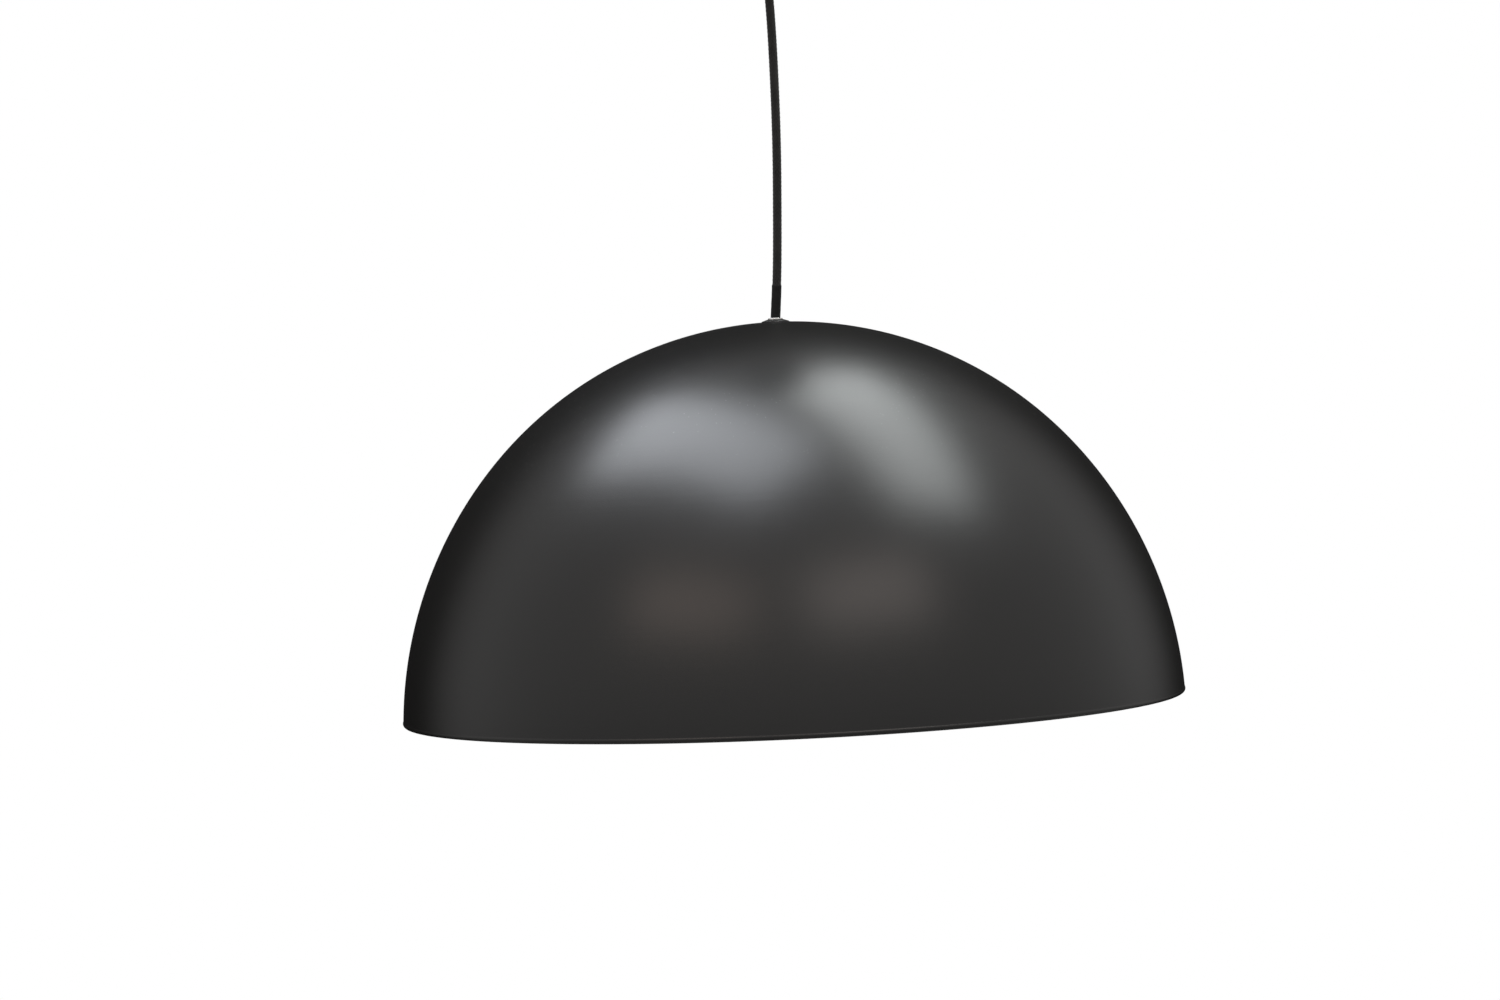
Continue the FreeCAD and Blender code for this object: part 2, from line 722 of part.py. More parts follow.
def cord_pieces():
    """The twisting root, the upper bend, the cord, the lower bend and the end inside the shade."""
    crown_z = crown.value
    low = V(0, 0, tilt_z.value)
    high = V(0, 0, swing_z.value)
    route = [low] + [V(x, 0, crown_z + height) for x, height in CORD_ROUTE] + [high]
    reach = dim.bend_reach.value
    route[0] = low + (route[1] - low).normalize() * reach
    route[-1] = high + (route[-2] - high).normalize() * reach
    edges, radii = rounded_path(route)
    length = sum(edge.Length for edge in edges)
    solid = tube(edges, dim.cord_radius.value)
    section = math.pi * dim.cord_radius.value ** 2
    print("cord: %.1f mm long, tightest radius %.0f mm" % (length, min(radii)))
    print("cord radii:", " ".join("%.0f" % radius for radius in radii))
    print("cord volume over section times length: %.4f" % (solid.Volume / (section * length)))
    run = doc.addObject("Part::Feature", "cord_run")
    run.Shape = solid
    root = cylinder("cord_root_blank", dim.cord_radius, dim.root_length, z=swing_z + dim.bend_reach)
    root, run = bend("cord_bend_upper", swing_z, ("cord_root", root), ("cord", run))
    part(root, "cord_root")
    end_top = tilt_z - dim.bend_reach
    end_length = dim.collar_stem + dim.end_proud
    end = cylinder("cord_end_blank", dim.cord_radius, end_length, z=end_top - end_length)
    run, end = bend("cord_bend_lower", tilt_z, ("cord_lower", run), ("cord_end", end))
    part(run, "cord")
    part(end, "cord_end")

    jacket = edges[:2]
    outer = tube(jacket, dim.sleeve_radius.value)
    shaped("shrink_sleeve", outer.cut(tube(jacket, dim.cord_radius.value)))


# ---------------------------------------------------------------- shade and collar

def shade():
    """A spun dome in two tangent arcs, its rim rolled inwards; heights are from the rim."""
    body = doc.addObject("PartDesign::Body", "shade")
    sketch = new_sketch(body, "XZ_Plane")
    side = dim.side_arc.value
    centre = V(-dim.side_arc_back.value, -dim.side_arc_low.value, 0)
    crown_centre = V(0, dim.shade_depth.value - dim.crown_arc.value, 0)
    sheet = dim.shade_sheet.value
    joint = (crown_centre - centre).normalize()
    start_z = dim.hem_radius.value

    def on_side(radius, height):
        return centre + V(math.sqrt(radius ** 2 - (height - centre.y) ** 2), height - centre.y, 0)

    def on_crown(radius, x):
        return crown_centre + V(x, math.sqrt(radius ** 2 - x ** 2), 0)

    def arc(middle, radius, first, last):
        ends = [math.atan2(spot.y - middle.y, spot.x - middle.x) for spot in (first, last)]
        return Part.ArcOfCircle(Part.Circle(middle, UP, radius), min(ends), max(ends))

    hole = dim.stem_hole.value
    meet_outer = centre + joint * side
    meet_inner = centre + joint * (side - sheet)
    crown_radius = dim.crown_arc.value
    foot_outer = on_side(side, start_z)
    foot_inner = on_side(side - sheet, start_z)
    top_outer = on_crown(crown_radius, hole)
    top_inner = on_crown(crown_radius - sheet, hole)
    sketch.addGeometry([
        arc(centre, side, foot_outer, meet_outer),
        arc(crown_centre, crown_radius, meet_outer, top_outer),
        Part.LineSegment(top_outer, top_inner),
        arc(crown_centre, crown_radius - sheet, meet_inner, top_inner),
        arc(centre, side - sheet, foot_inner, meet_inner),
        Part.LineSegment(foot_inner, foot_outer)], False)
    for kind, first, first_end, second, second_end in (
            ("Tangent", 0, 2, 1, 1), ("Coincident", 1, 2, 2, 1), ("Coincident", 2, 2, 3, 2),
            ("Tangent", 3, 1, 4, 2), ("Coincident", 4, 1, 5, 1), ("Coincident", 5, 2, 0, 1)):
        sketch.addConstraint(Sketcher.Constraint(kind, first, first_end, second, second_end))
    pin(sketch, 0, 3, -dim.side_arc_back, -dim.side_arc_low)
    sketch.addConstraint(Sketcher.Constraint("Coincident", 4, 3, 0, 3))
    pin(sketch, 1, 3, 0.0, dim.shade_depth - dim.crown_arc)
    sketch.addConstraint(Sketcher.Constraint("Coincident", 3, 3, 1, 3))
    for edge, length in ((0, dim.side_arc), (4, dim.side_arc - dim.shade_sheet)):
        index = sketch.addConstraint(Sketcher.Constraint("Radius", edge, length.value))
        bind(sketch, "Constraints[%d]" % index, length)
    for edge, end, kind, length in ((5, 1, "DistanceY", dim.hem_radius), (5, 2, "DistanceY", dim.hem_radius),
                                    (2, 1, "DistanceX", dim.stem_hole), (2, 2, "DistanceX", dim.stem_hole)):
        index = sketch.addConstraint(Sketcher.Constraint(kind, -1, 1, edge, end, length.value))
        bind(sketch, "Constraints[%d]" % index, length)
    revolve(body, sketch)

    hem = body.newObject("Sketcher::SketchObject", "shade_hem_section")
    hem.AttachmentSupport = [(origin_plane(body, "XZ_Plane"), "")]
    hem.MapMode = "FlatFace"
    radius = dim.hem_radius
    edge_x = Size("(sqrt(%s ^ 2 - (%s + %s) ^ 2) - %s + %s - %s)" % (
        dim.side_arc.text, radius.text, dim.side_arc_low.text, dim.side_arc_back.text,
        dim.hem_proud.text, radius.text), foot_outer.x + dim.hem_proud.value - radius.value)
    hem.addGeometry(Part.Circle(V(edge_x.value, radius.value, 0), UP, radius.value), False)
    pin(hem, 0, 3, edge_x, radius)
    index = hem.addConstraint(Sketcher.Constraint("Radius", 0, radius.value))
    bind(hem, "Constraints[%d]" % index, radius)
    rolled = body.newObject("PartDesign::Revolution", "shade_hem")
    rolled.Profile = hem
    rolled.ReferenceAxis = (hem, ["V_Axis"])
    rolled.Angle = 360.0
    part(place(body, z=-dim.drop), "shade")


def collar():
    """The low black collar on the crown, its bright ring, and the washers and nut that hold it."""
    height = dim.collar_height
    stem = dim.collar_stem
    edge = stem + dim.collar_edge
    mouth_floor = stem + dim.collar_floor
    collar_body = turned("collar", [
        (dim.grip_stem_radius, 0.0), (dim.grip_stem_radius, stem), (dim.collar_radius, stem),
        (dim.collar_radius, edge), (dim.collar_top, stem + height), (dim.collar_mouth, stem + height),
        (dim.collar_mouth, mouth_floor), (dim.cord_bore, mouth_floor), (dim.cord_bore, 0.0)],
        rounds=[(dim.collar_radius, edge, dim.collar_edge_round),
                (dim.collar_top, stem + height, dim.collar_top_round)])
    place(collar_body, z=crown - stem)
    ring = turned("collar_ring", ring_corners(dim.collar_mouth, dim.ring_radius, 0.0, dim.ring_height),
                  rounds=[(dim.ring_radius, dim.ring_height, dim.ring_round),
                          (dim.collar_mouth, dim.ring_height, dim.ring_round)])
    place(ring, z=crown + height)

    washer_z = crown - dim.shade_sheet - dim.washer_gap - dim.washer_height
    washer = turned("seat_washer", ring_corners(dim.stem_hole, dim.washer_radius, 0.0, dim.washer_height),
                    rounds=[(dim.washer_radius, 0.0, dim.washer_round)])
    place(washer, z=washer_z)
    lock_z = washer_z - dim.lock_washer_height
    disc = cylinder("lock_washer_disc", dim.lock_washer_radius, dim.lock_washer_height)
    cuts = [cylinder("lock_washer_bore", dim.stem_hole, dim.lock_washer_height)]
    for number in range(TOOTH_GAPS):
        angle = 2 * math.pi * number / TOOTH_GAPS
        cuts.append(cylinder("lock_washer_gap%d" % number, dim.tooth_gap_radius, dim.lock_washer_height,
                             x=dim.tooth_gap_ring * math.cos(angle), y=dim.tooth_gap_ring * math.sin(angle)))
    part(place(cut("lock_washer", disc, fuse("lock_washer_cuts", *cuts)), z=lock_z), "lock_washer")
    nut_z = lock_z - dim.stem_nut_height
    nut = hexagon("stem_nut_blank", dim.stem_nut_width, dim.stem_nut_height, z=nut_z)
    nut_bore = cylinder("stem_nut_bore", dim.grip_stem_radius, dim.stem_nut_height, z=nut_z)
    part(cut("stem_nut", nut, nut_bore), "stem_nut")


# ---------------------------------------------------------------- lampholder

holder_top_z = crown - dim.holder_top
seam_z = holder_top_z - dim.cap_height
holder_low_z = holder_top_z - dim.holder_length
insert_low_z = seam_z - dim.insert_height
contact_z = insert_low_z - dim.contact_drop
clamp_top_z = holder_top_z - dim.clamp_drop


def lampholder_shells():
    """The lampholder's cap on the stem, and the outer sleeve that screws into it."""
    inside = dim.holder_radius - dim.holder_wall
    top = dim.cap_height
    shoulder = top - dim.cap_shoulder
    neck = top - dim.cap_neck
    cap = turned_body("lampholder_cap_turned", [
        (inside, 0.0), (dim.holder_radius, 0.0), (dim.holder_radius, shoulder), (dim.holder_neck, neck),
        (dim.holder_neck, top), (dim.grip_stem_radius, top), (dim.grip_stem_radius, top - dim.cap_tap),
        (dim.holder_neck - dim.cap_inset, top - dim.cap_throat), (inside, shoulder - dim.cap_inset)],
        rounds=[(dim.holder_radius, shoulder, dim.shoulder_round), (dim.holder_neck, top, dim.neck_top_round),
                (dim.holder_neck, neck, dim.neck_round), (dim.holder_radius, 0.0, dim.seam_round)])
    place(cap, z=seam_z)
    screw_z = holder_top_z - dim.locking_screw_drop
    holes = [cylinder("locking_screw_hole", dim.set_screw_radius, dim.holder_neck,
                      x=dim.grip_stem_radius * 0.9, z=screw_z, turn=(V(0, 1, 0), 90))]
    bosses = []
    for side in (-1, 1):
        spot = {"x": dim.clamp_screw_x * side, "y": dim.clamp_screw_y, "z": clamp_top_z}
        bosses.append(cylinder("clamp_boss_%d" % (side + 1), dim.clamp_boss_radius, dim.clamp_boss_height,
                               **spot))
        holes.append(cylinder("clamp_tap_%d" % (side + 1), dim.clamp_tap_radius, dim.clamp_tap_depth, **spot))
    part(cut("lampholder_cap", fuse("lampholder_cap_bossed", cap, *bosses),
             fuse("lampholder_cap_holes", *holes)), "lampholder_cap")
    set_screw("locking_screw", dim.holder_neck - dim.grip_stem_radius + dim.locking_screw_proud,
              x=dim.holder_neck + dim.locking_screw_proud, z=screw_z, turn=(V(0, 1, 0), 90))

    length = dim.holder_length - dim.cap_height
    bore = dim.shell_radius + dim.shell_room
    low_radius = dim.holder_radius - dim.barrel_taper_low
    rim = length - dim.barrel_rim
    seat = length - dim.insert_height
    sleeve = turned("lampholder_sleeve", [
        (bore, 0.0), (low_radius, 0.0),
        (dim.holder_radius - dim.barrel_taper_high, rim - dim.barrel_rim_step),
        (dim.holder_radius, rim), (dim.holder_radius, length), (inside, length), (inside, seat),
        (bore, seat)],
        rounds=[(low_radius, 0.0, dim.barrel_low_round), (bore, 0.0, dim.barrel_mouth_round),
                (dim.holder_radius, rim, dim.barrel_rim_round)])
    place(sleeve, z=holder_low_z)


def lampholder_inside():
    """The insert with its terminals, the contacts and the screw shell, its thread a plain bore."""
    insert = cylinder("insert_blank", dim.insert_radius, dim.insert_height, z=insert_low_z)
    plate_z = seam_z - dim.insert_well_depth + dim.touch_gap
    wells = []
    screws = []
    plates = []
    for side, name in ((-1, "brown"), (1, "blue")):
        x = dim.terminal_x * side
        wells.append(block("insert_well_" + name, dim.insert_well_width, dim.insert_well_length,
                           dim.insert_well_depth, x=x, z=seam_z - dim.insert_well_depth))
        wells.append(cylinder("insert_tap_" + name, dim.terminal_screw_radius, dim.terminal_tap_depth,
                              x=x, z=seam_z - dim.terminal_tap_depth))
        screws.append(slotted_screw("holder_terminal_" + name, dim.terminal_screw_head,
                                    dim.terminal_screw_head_height, dim.terminal_screw_radius,
                                    dim.terminal_screw_length, x=x,
                                    z=plate_z + dim.plate_sheet + dim.touch_gap))
        blank = block("terminal_plate_blank_" + name, dim.plate_width, dim.plate_length, dim.plate_sheet,
                      x=x, z=plate_z)
        bore = cylinder("terminal_plate_bore_" + name, dim.terminal_screw_radius, dim.plate_sheet * 3,
                        x=x, z=plate_z - dim.plate_sheet)
        plates.append(cut("terminal_plate_" + name, blank, bore))
    part(cut("lampholder_insert", insert, fuse("insert_cuts", *wells)), "lampholder_insert")
    group("holder_terminal_screws", screws)
    group("holder_terminal_plates", plates)

    sheet = dim.contact_sheet
    leaf_z = insert_low_z - sheet
    leaf = block("centre_contact_leaf", dim.contact_leaf_length, dim.contact_width, sheet,
                 x=-dim.contact_leaf_x, z=leaf_z)
    button = cylinder("centre_contact_button", dim.contact_button_radius, dim.contact_drop - sheet,
                      z=contact_z)
    part(fuse("centre_contact", leaf, button), "centre_contact")
    shell_top_z = insert_low_z - dim.side_contact_drop
    foot = block("side_contact_foot", dim.side_contact_foot, dim.contact_width, sheet,
                 x=dim.side_contact_reach - dim.side_contact_foot * 0.5, z=leaf_z)
    leg = block("side_contact_leg", sheet, dim.contact_width, dim.side_contact_drop - sheet,
                x=dim.side_contact_reach - sheet * 0.5, z=shell_top_z)
    part(fuse("side_contact", foot, leg), "side_contact")

    shell = turned("screw_shell", ring_corners(dim.shell_bore, dim.shell_radius, 0.0, dim.shell_height))
    place(shell, z=shell_top_z - dim.shell_height)


def cord_clamp():
    """A bar under the cap's two bosses, with a screw in each, that holds the cord's end."""
    height = dim.clamp_bar
    bar_z = clamp_top_z - height
    holes = []
    screws = []
    blank = block("clamp_bar", dim.clamp_bar_length, dim.clamp_bar_width, height,
                  y=dim.clamp_screw_y, z=bar_z)
    bar = rounded("clamp_bar_rounded", blank, dim.clamp_bar_corner.value,
                  lambda middle, edge: abs(edge.Length - height.value) < 0.01)
    for side in (-1, 1):
        spot = {"x": dim.clamp_screw_x * side, "y": dim.clamp_screw_y, "z": bar_z}
        key = "%d" % (side + 1)
        holes.append(cylinder("clamp_hole_" + key, dim.clamp_screw_radius + dim.clamp_screw_room, height,
                              **spot))
        screws.append(slotted_screw("clamp_screw_" + key, dim.clamp_screw_head, dim.clamp_screw_head_height,
                                    dim.clamp_screw_radius, height + dim.clamp_screw_bite,
                                    turn=(V(1, 0, 0), 180), **spot))
    part(cut("cord_clamp", bar, fuse("clamp_holes", *holes)), "cord_clamp")
    group("cord_clamp_screws", screws)


def holder_leads():
    """The two leads from the cord's end to the insert's terminals."""
    top = (tilt_z - dim.bend_reach - dim.collar_stem - dim.end_proud).value
    straight_low = top - dim.lead_straight.value
    turn_z = (seam_z + dim.lead_turn_height).value
    end_z = (seam_z - dim.lead_end_depth).value
    end_y = dim.lead_y.value
    for side, name in ((-1, "brown"), (1, "blue")):
        x = dim.lead_offset.value * side
        end_x = dim.terminal_x.value * side
        lead("holder_lead_" + name, [V(x, 0, top), V(x, 0, straight_low), V(end_x, end_y, turn_z),
                                     V(end_x, end_y, end_z)])


# ---------------------------------------------------------------- lamp

def lamp():
    """A filament lamp, screwed home against the centre contact."""
    tip_low = contact_z - dim.tip_height
    tip = turned("lamp_tip", [
        (0.0, 0.0), (dim.tip_radius, 0.0), (dim.tip_radius, dim.tip_edge), (dim.tip_face, dim.tip_height),
        (0.0, dim.tip_height)], rounds=[(dim.tip_radius, dim.tip_edge, dim.tip_round)])
    place(tip, z=tip_low)
    insulator = turned("lamp_insulator", [
        (0.0, 0.0), (dim.insulator_radius, 0.0), (dim.insulator_radius, dim.insulator_edge),
        (dim.insulator_face, dim.insulator_height), (0.0, dim.insulator_height)],
        rounds=[(dim.insulator_radius, dim.insulator_edge, dim.insulator_round)])
    insulator_low = tip_low - dim.insulator_height
    place(insulator, z=insulator_low)
    cap_low = insulator_low - lamp_cap_height()
    lamp_cap(cap_low)
    lamp_glass((contact_z - dim.bulb_length).value, cap_low.value)
    lamp_inside(cap_low)


def lamp_cap_height():
    return dim.cap_skirt + dim.thread_pitch * CAP_TURNS + dim.cap_top_land


def lamp_cap(low):
    """The lamp's cap shell: a skirt, the rolled thread as even ridges a pitch apart, and a lip on top."""
    outer = [(dim.cap_skirt_radius, 0.0), (dim.cap_skirt_radius, dim.cap_skirt - dim.cap_skirt_edge)]
    for turn in range(CAP_TURNS):
        start = dim.cap_skirt + dim.thread_pitch * turn + dim.thread_land
        for radius, flanks in ((dim.cap_root, 0), (dim.cap_crest, 1), (dim.cap_crest, 2), (dim.cap_root, 3)):
            outer.append((radius, start + dim.thread_flank * flanks))
    top = lamp_cap_height()
    mouth = dim.cap_bore - dim.cap_lip_inset
    inner_top = top - dim.cap_lip_depth
    body = turned("lamp_cap", outer + [
        (dim.cap_root, top), (mouth + dim.cap_lip_width, top + dim.cap_lip), (mouth, top + dim.cap_lip),
        (mouth, inner_top), (dim.cap_bore, inner_top), (dim.cap_bore, 0.0)])
    place(body, z=low)


def lamp_glass(low_z, neck_z):
    """The envelope: a ball drawn up through a curved shoulder to the neck."""
    centre = V(0, 0, low_z + dim.bulb_radius.value)
    top_z = neck_z + dim.bulb_tuck.value
    shoulder_z = neck_z - dim.bulb_neck_straight.value

    def on_ball(radius, degrees):
        angle = math.radians(degrees)
        return centre + V(radius * math.cos(angle), 0, radius * math.sin(angle))

    def wall(inset):
        """The edges of the wall's outer or inner face, with its top and bottom points."""
        ball = dim.bulb_radius.value - inset
        throat = dim.bulb_neck.value - inset
        bottom = on_ball(ball, -90)
        leave = on_ball(ball, BULB_SHOULDER)
        shoulder = V(throat, 0, shoulder_z)
        top = V(throat, 0, top_z)
        slope = V(-math.sin(math.radians(BULB_SHOULDER)), 0, math.cos(math.radians(BULB_SHOULDER)))
        reach = (shoulder - leave).Length * BULB_FULLNESS
        curve = Part.BezierCurve()
        curve.setPoles([leave, leave + slope * reach, shoulder - UP * reach, shoulder])
        edges = [Part.Arc(bottom, on_ball(ball, -45), on_ball(ball, 0)).toShape(),
                 Part.Arc(on_ball(ball, 0), on_ball(ball, BULB_SHOULDER / 2), leave).toShape(),
                 curve.toShape(),
                 Part.LineSegment(shoulder, top).toShape()]
        return edges, top, bottom

    outer, outer_top, outer_low = wall(0.0)
    inner, inner_top, inner_low = wall(dim.glass_wall.value)
    ends = [Part.LineSegment(outer_top, inner_top).toShape(),
            Part.LineSegment(inner_low, outer_low).toShape()]
    profile = Part.Face(Part.Wire(Part.__sortEdges__(outer + inner + ends)))
    shaped("lamp_glass", profile.revolve(V(0, 0, 0), UP, 360))


def lamp_inside(neck_z):
    """The glass stem, four filament sticks and the wires that hold them."""
    foot_z = neck_z - dim.stem_drop
    rod = dim.stem_rod_radius
    flare = dim.stem_flare_radius
    stem = turned("lamp_stem", [
        (0.0, 0.0), (rod, 0.0), (rod, dim.stem_rod_height), (flare, dim.stem_flare_height),
        (flare, dim.stem_full_height), (0.0, dim.stem_full_height)],
        rounds=[(rod, 0.0, dim.stem_foot_round), (rod, dim.stem_rod_height, dim.stem_flare_round)])
    place(stem, z=foot_z)

    low = (foot_z - dim.stick_foot_depth).value
    high = (foot_z + dim.stick_head_height).value
    foot_radius = dim.stick_foot_radius.value
    wire = dim.wire_radius.value
    top_wire_length = 3.4
    top_wire_start = 1.8        # from the axis, inside the glass stem
    top_wire_lift = 0.6         # over the sticks' heads
    spoke_drop = 1.2            # below the sticks' feet
    spoke_overhang = 0.6        # past the sticks' feet
    hub_below = 0.4             # the spokes
    hub_length = foot_z.value - low + 2.0
    sticks = []
    wires = []
    spokes = []
    for number in range(FILAMENTS):
        angle = 2 * math.pi * (number + 0.5) / FILAMENTS
        out = V(math.cos(angle), math.sin(angle), 0)
        foot = out * foot_radius + UP * low
        head = out * dim.stick_head_radius.value + UP * high
        along = head - foot
        sticks.append(Part.makeCylinder(dim.stick_radius.value, along.Length, foot, along.normalize()))
        wire_start = out * top_wire_start + UP * (high + top_wire_lift)
        wires.append(Part.makeCylinder(wire, top_wire_length, wire_start, out))
        spokes.append(Part.makeCylinder(wire, foot_radius + spoke_overhang, UP * (low - spoke_drop), out))
    shaped("lamp_filaments", Part.makeCompound(sticks))
    hub = Part.makeCylinder(dim.hub_wire_radius.value, hub_length, UP * (low - spoke_drop - hub_below))
    shaped("lamp_support_wires", Part.makeCompound(wires + [hub.fuse(spokes)]))


# ---------------------------------------------------------------- the whole light

mounting_bracket()
canopy_cup()
canopy_screws()
cord_grip()
terminal_block()
canopy_leads()
cord_pieces()
shade()
collar()
lampholder_shells()
lampholder_inside()
cord_clamp()
holder_leads()
lamp()

doc.recompute()
for thing in doc.Objects:
    if "Invalid" in thing.State or "Error" in thing.State:
        raise RuntimeError("%s failed: %s" % (thing.Label, thing.State))
for thing in parts:
    if thing.Shape.isNull() or not thing.Shape.isValid():
        raise RuntimeError(thing.Label + " has no valid shape")

os.makedirs("parts", exist_ok=True)
for thing in parts:
    thing.Shape.exportStep("parts/%s.step" % thing.Label)
    print("%-24s solids %d  volume %.1f mm3" % (thing.Label, len(thing.Shape.Solids), thing.Shape.Volume))
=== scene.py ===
import json
import math
import bmesh
import bpy
from mathutils import Matrix, Vector, noise


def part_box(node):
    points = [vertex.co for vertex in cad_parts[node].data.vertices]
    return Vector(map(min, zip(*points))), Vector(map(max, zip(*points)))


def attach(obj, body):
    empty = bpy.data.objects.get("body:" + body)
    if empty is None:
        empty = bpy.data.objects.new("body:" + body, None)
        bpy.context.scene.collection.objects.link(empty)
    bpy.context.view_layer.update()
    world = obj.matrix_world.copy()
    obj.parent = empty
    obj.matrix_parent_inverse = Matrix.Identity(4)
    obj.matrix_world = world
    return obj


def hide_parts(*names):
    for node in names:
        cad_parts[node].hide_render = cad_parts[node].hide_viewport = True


# The looks of a dome pendant light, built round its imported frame. Metres, +Z up, ceiling at z = 0.

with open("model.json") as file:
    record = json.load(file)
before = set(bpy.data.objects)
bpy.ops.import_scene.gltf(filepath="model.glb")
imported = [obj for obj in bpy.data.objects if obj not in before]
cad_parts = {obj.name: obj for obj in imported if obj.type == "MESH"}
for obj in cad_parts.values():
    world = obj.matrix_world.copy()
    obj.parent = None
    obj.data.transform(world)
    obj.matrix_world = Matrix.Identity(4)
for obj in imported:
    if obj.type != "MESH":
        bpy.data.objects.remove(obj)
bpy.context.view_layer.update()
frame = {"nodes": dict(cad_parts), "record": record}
nodes = frame["nodes"]
MM = 0.001
TINY = 0.0001 * MM      # a radius or a gap under this counts as none
NEAR = 0.001 * MM       # levels and radii this close count as equal
UP = Vector((0, 0, 1))

SHADE = "shade_assembly"

# heights that the frame gives
shade_low, shade_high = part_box("shade")
rim_z = shade_low.z
crown_z = shade_high.z
grip_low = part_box("cord_grip")[0]
holder_low, holder_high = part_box("lampholder_sleeve")
glass_low, glass_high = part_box("lamp_glass")

# the shade's outline, in two tangent arcs
SIDE_ARC = 262 * MM
SIDE_ARC_BACK = 12 * MM
SIDE_ARC_LOW = 10 * MM
CROWN_ARC = 246 * MM
CROWN_CENTRE = 0.6 * MM
SHEET = 0.9 * MM
HEM = 2 * MM
HEM_PROUD = 0.3 * MM
STEM_HOLE = 5.1 * MM

THREAD_PITCH = 3.629 * MM       # of the lamp's cap
THREAD_FADE = 1.2 * MM          # over which the thread runs out at its ends

# the cord
SLEEVE_RADIUS = 3.2 * MM
SLEEVE_LENGTH = 21.7 * MM
SWING_HEIGHT = 3 * MM           # the upper bend over the grip's mouth
TILT_HEIGHT = 1.4 * MM          # the lower bend over the crown
BEND_REACH = 1 * MM             # from a bend's centre to the jacket's end
# its route in the XZ plane, from the lower bend to the upper: x, height above the crown
CORD_ROUTE = [(0.0015, 0.017), (0.0031, 0.040), (0.0046, 0.072), (0.0062, 0.112), (0.0067, 0.155),
              (0.0063, 0.200), (0.0046, 0.228), (0.0010, 0.250)]


# ---------------------------------------------------------------- meshes

def solid(name, points, faces, finishes, finish_of=None, crease=35.0):
    """A smooth-shaded mesh object, with sharp edges where its surface turns by more than crease degrees."""
    mesh = bpy.data.meshes.new(name)
    mesh.from_pydata([tuple(point) for point in points], [], faces)
    for finish in finishes:
        mesh.materials.append(finish)
    for index, face in enumerate(mesh.polygons):
        face.use_smooth = True
        face.material_index = finish_of[index] if finish_of else 0
    shape = bmesh.new()
    shape.from_mesh(mesh)
    bmesh.ops.recalc_face_normals(shape, faces=shape.faces)
    limit = math.radians(crease)
    for edge in shape.edges:
        edge.smooth = len(edge.link_faces) != 2 or edge.calc_face_angle() < limit
    shape.to_mesh(mesh)
    shape.free()
    thing = bpy.data.objects.new(name, mesh)
    bpy.context.scene.collection.objects.link(thing)
    return thing


def arc(x, z, radius, start, end, steps):
    """Points round a centre, from one angle in degrees to another."""
    angles = [math.radians(start + (end - start) * step / steps) for step in range(steps + 1)]
    return [(x + radius * math.cos(angle), z + radius * math.sin(angle)) for angle in angles]


def lathe(name, stretches, finishes, steps=96, base=0.0, swell=None, crease=35.0):
    """A solid turned about Z. Each stretch of the closed outline is (points, finish number).

    Swell takes an angle, a radius and a height, and gives what is added to the radius there.
    """
    outline = []
    numbers = []
    for points, number in stretches:
        for spot in points:
            if not outline or math.dist(spot, outline[-1]) > TINY:
                outline.append(spot)
                numbers.append(number)
    count = len(outline)
    points = []
    first = []
    for radius, height in outline:
        first.append(len(points))
        for step in range(1 if radius < TINY else steps):
            angle = 2 * math.pi * step / steps
            reach = radius + (swell(angle, radius, base + height) if swell and radius > TINY else 0.0)
            points.append((reach * math.cos(angle), reach * math.sin(angle), base + height))
    faces = []
    finish_of = []
    for index in range(count):
        follow = (index + 1) % count
        ends = (outline[index][0] < TINY, outline[follow][0] < TINY)
        if all(ends):
            continue
        for step in range(steps):
            side = (step + 1) % steps
            if ends[0]:
                face = (first[index], first[follow] + step, first[follow] + side)
            elif ends[1]:
                face = (first[index] + step, first[follow], first[index] + side)
            else:
                face = (first[index] + step, first[follow] + step,
                        first[follow] + side, first[index] + side)
            faces.append(face)
            finish_of.append(numbers[follow])
    return solid(name, points, faces, finishes, finish_of, crease)


def spline_points(route, resolution=24):
    """Points along the smooth curve that a route's points control."""
    curve = bpy.data.curves.new("route", "CURVE")
    curve.dimensions = "3D"
    spline = curve.splines.new("NURBS")
    spline.points.add(len(route) - 1)
    for point, spot in zip(spline.points, route):
        point.co = (*spot, 1.0)
    spline.order_u = 3
    spline.use_endpoint_u = True
    spline.resolution_u = resolution
    holder = bpy.data.objects.new("route", curve)
    bpy.context.scene.collection.objects.link(holder)
    mesh = bpy.data.meshes.new_from_object(holder)
    points = [vertex.co.copy() for vertex in mesh.vertices]
    bpy.data.objects.remove(holder)
    bpy.data.curves.remove(curve)
    bpy.data.meshes.remove(mesh)
    return points


def along(points, spacing):
    """Evenly spaced stations on a line of points: (point, heading, distance)."""
    lengths = [0.0]
    for before, after in zip(points, points[1:]):
        lengths.append(lengths[-1] + (after - before).length)
    count = max(2, round(lengths[-1] / spacing))
    stations = []
    index = 0
    for step in range(count + 1):
        distance = lengths[-1] * step / count
        while index < len(points) - 2 and lengths[index + 1] < distance:
            index += 1
        share = (distance - lengths[index]) / (lengths[index + 1] - lengths[index])
        spot = points[index].lerp(points[index + 1], min(1.0, share))
        stations.append((spot, (points[index + 1] - points[index]).normalized(), distance))
    return stations


def sides(stations):
    """Two directions square to the line at each station, carried along it without twist."""
    side = stations[0][1].cross(Vector((0, 1, 0))).normalized()
    result = []
    for spot, heading, distance in stations:
        side = (side - heading * side.dot(heading)).normalized()
        result.append((side, heading.cross(side)))
    return result


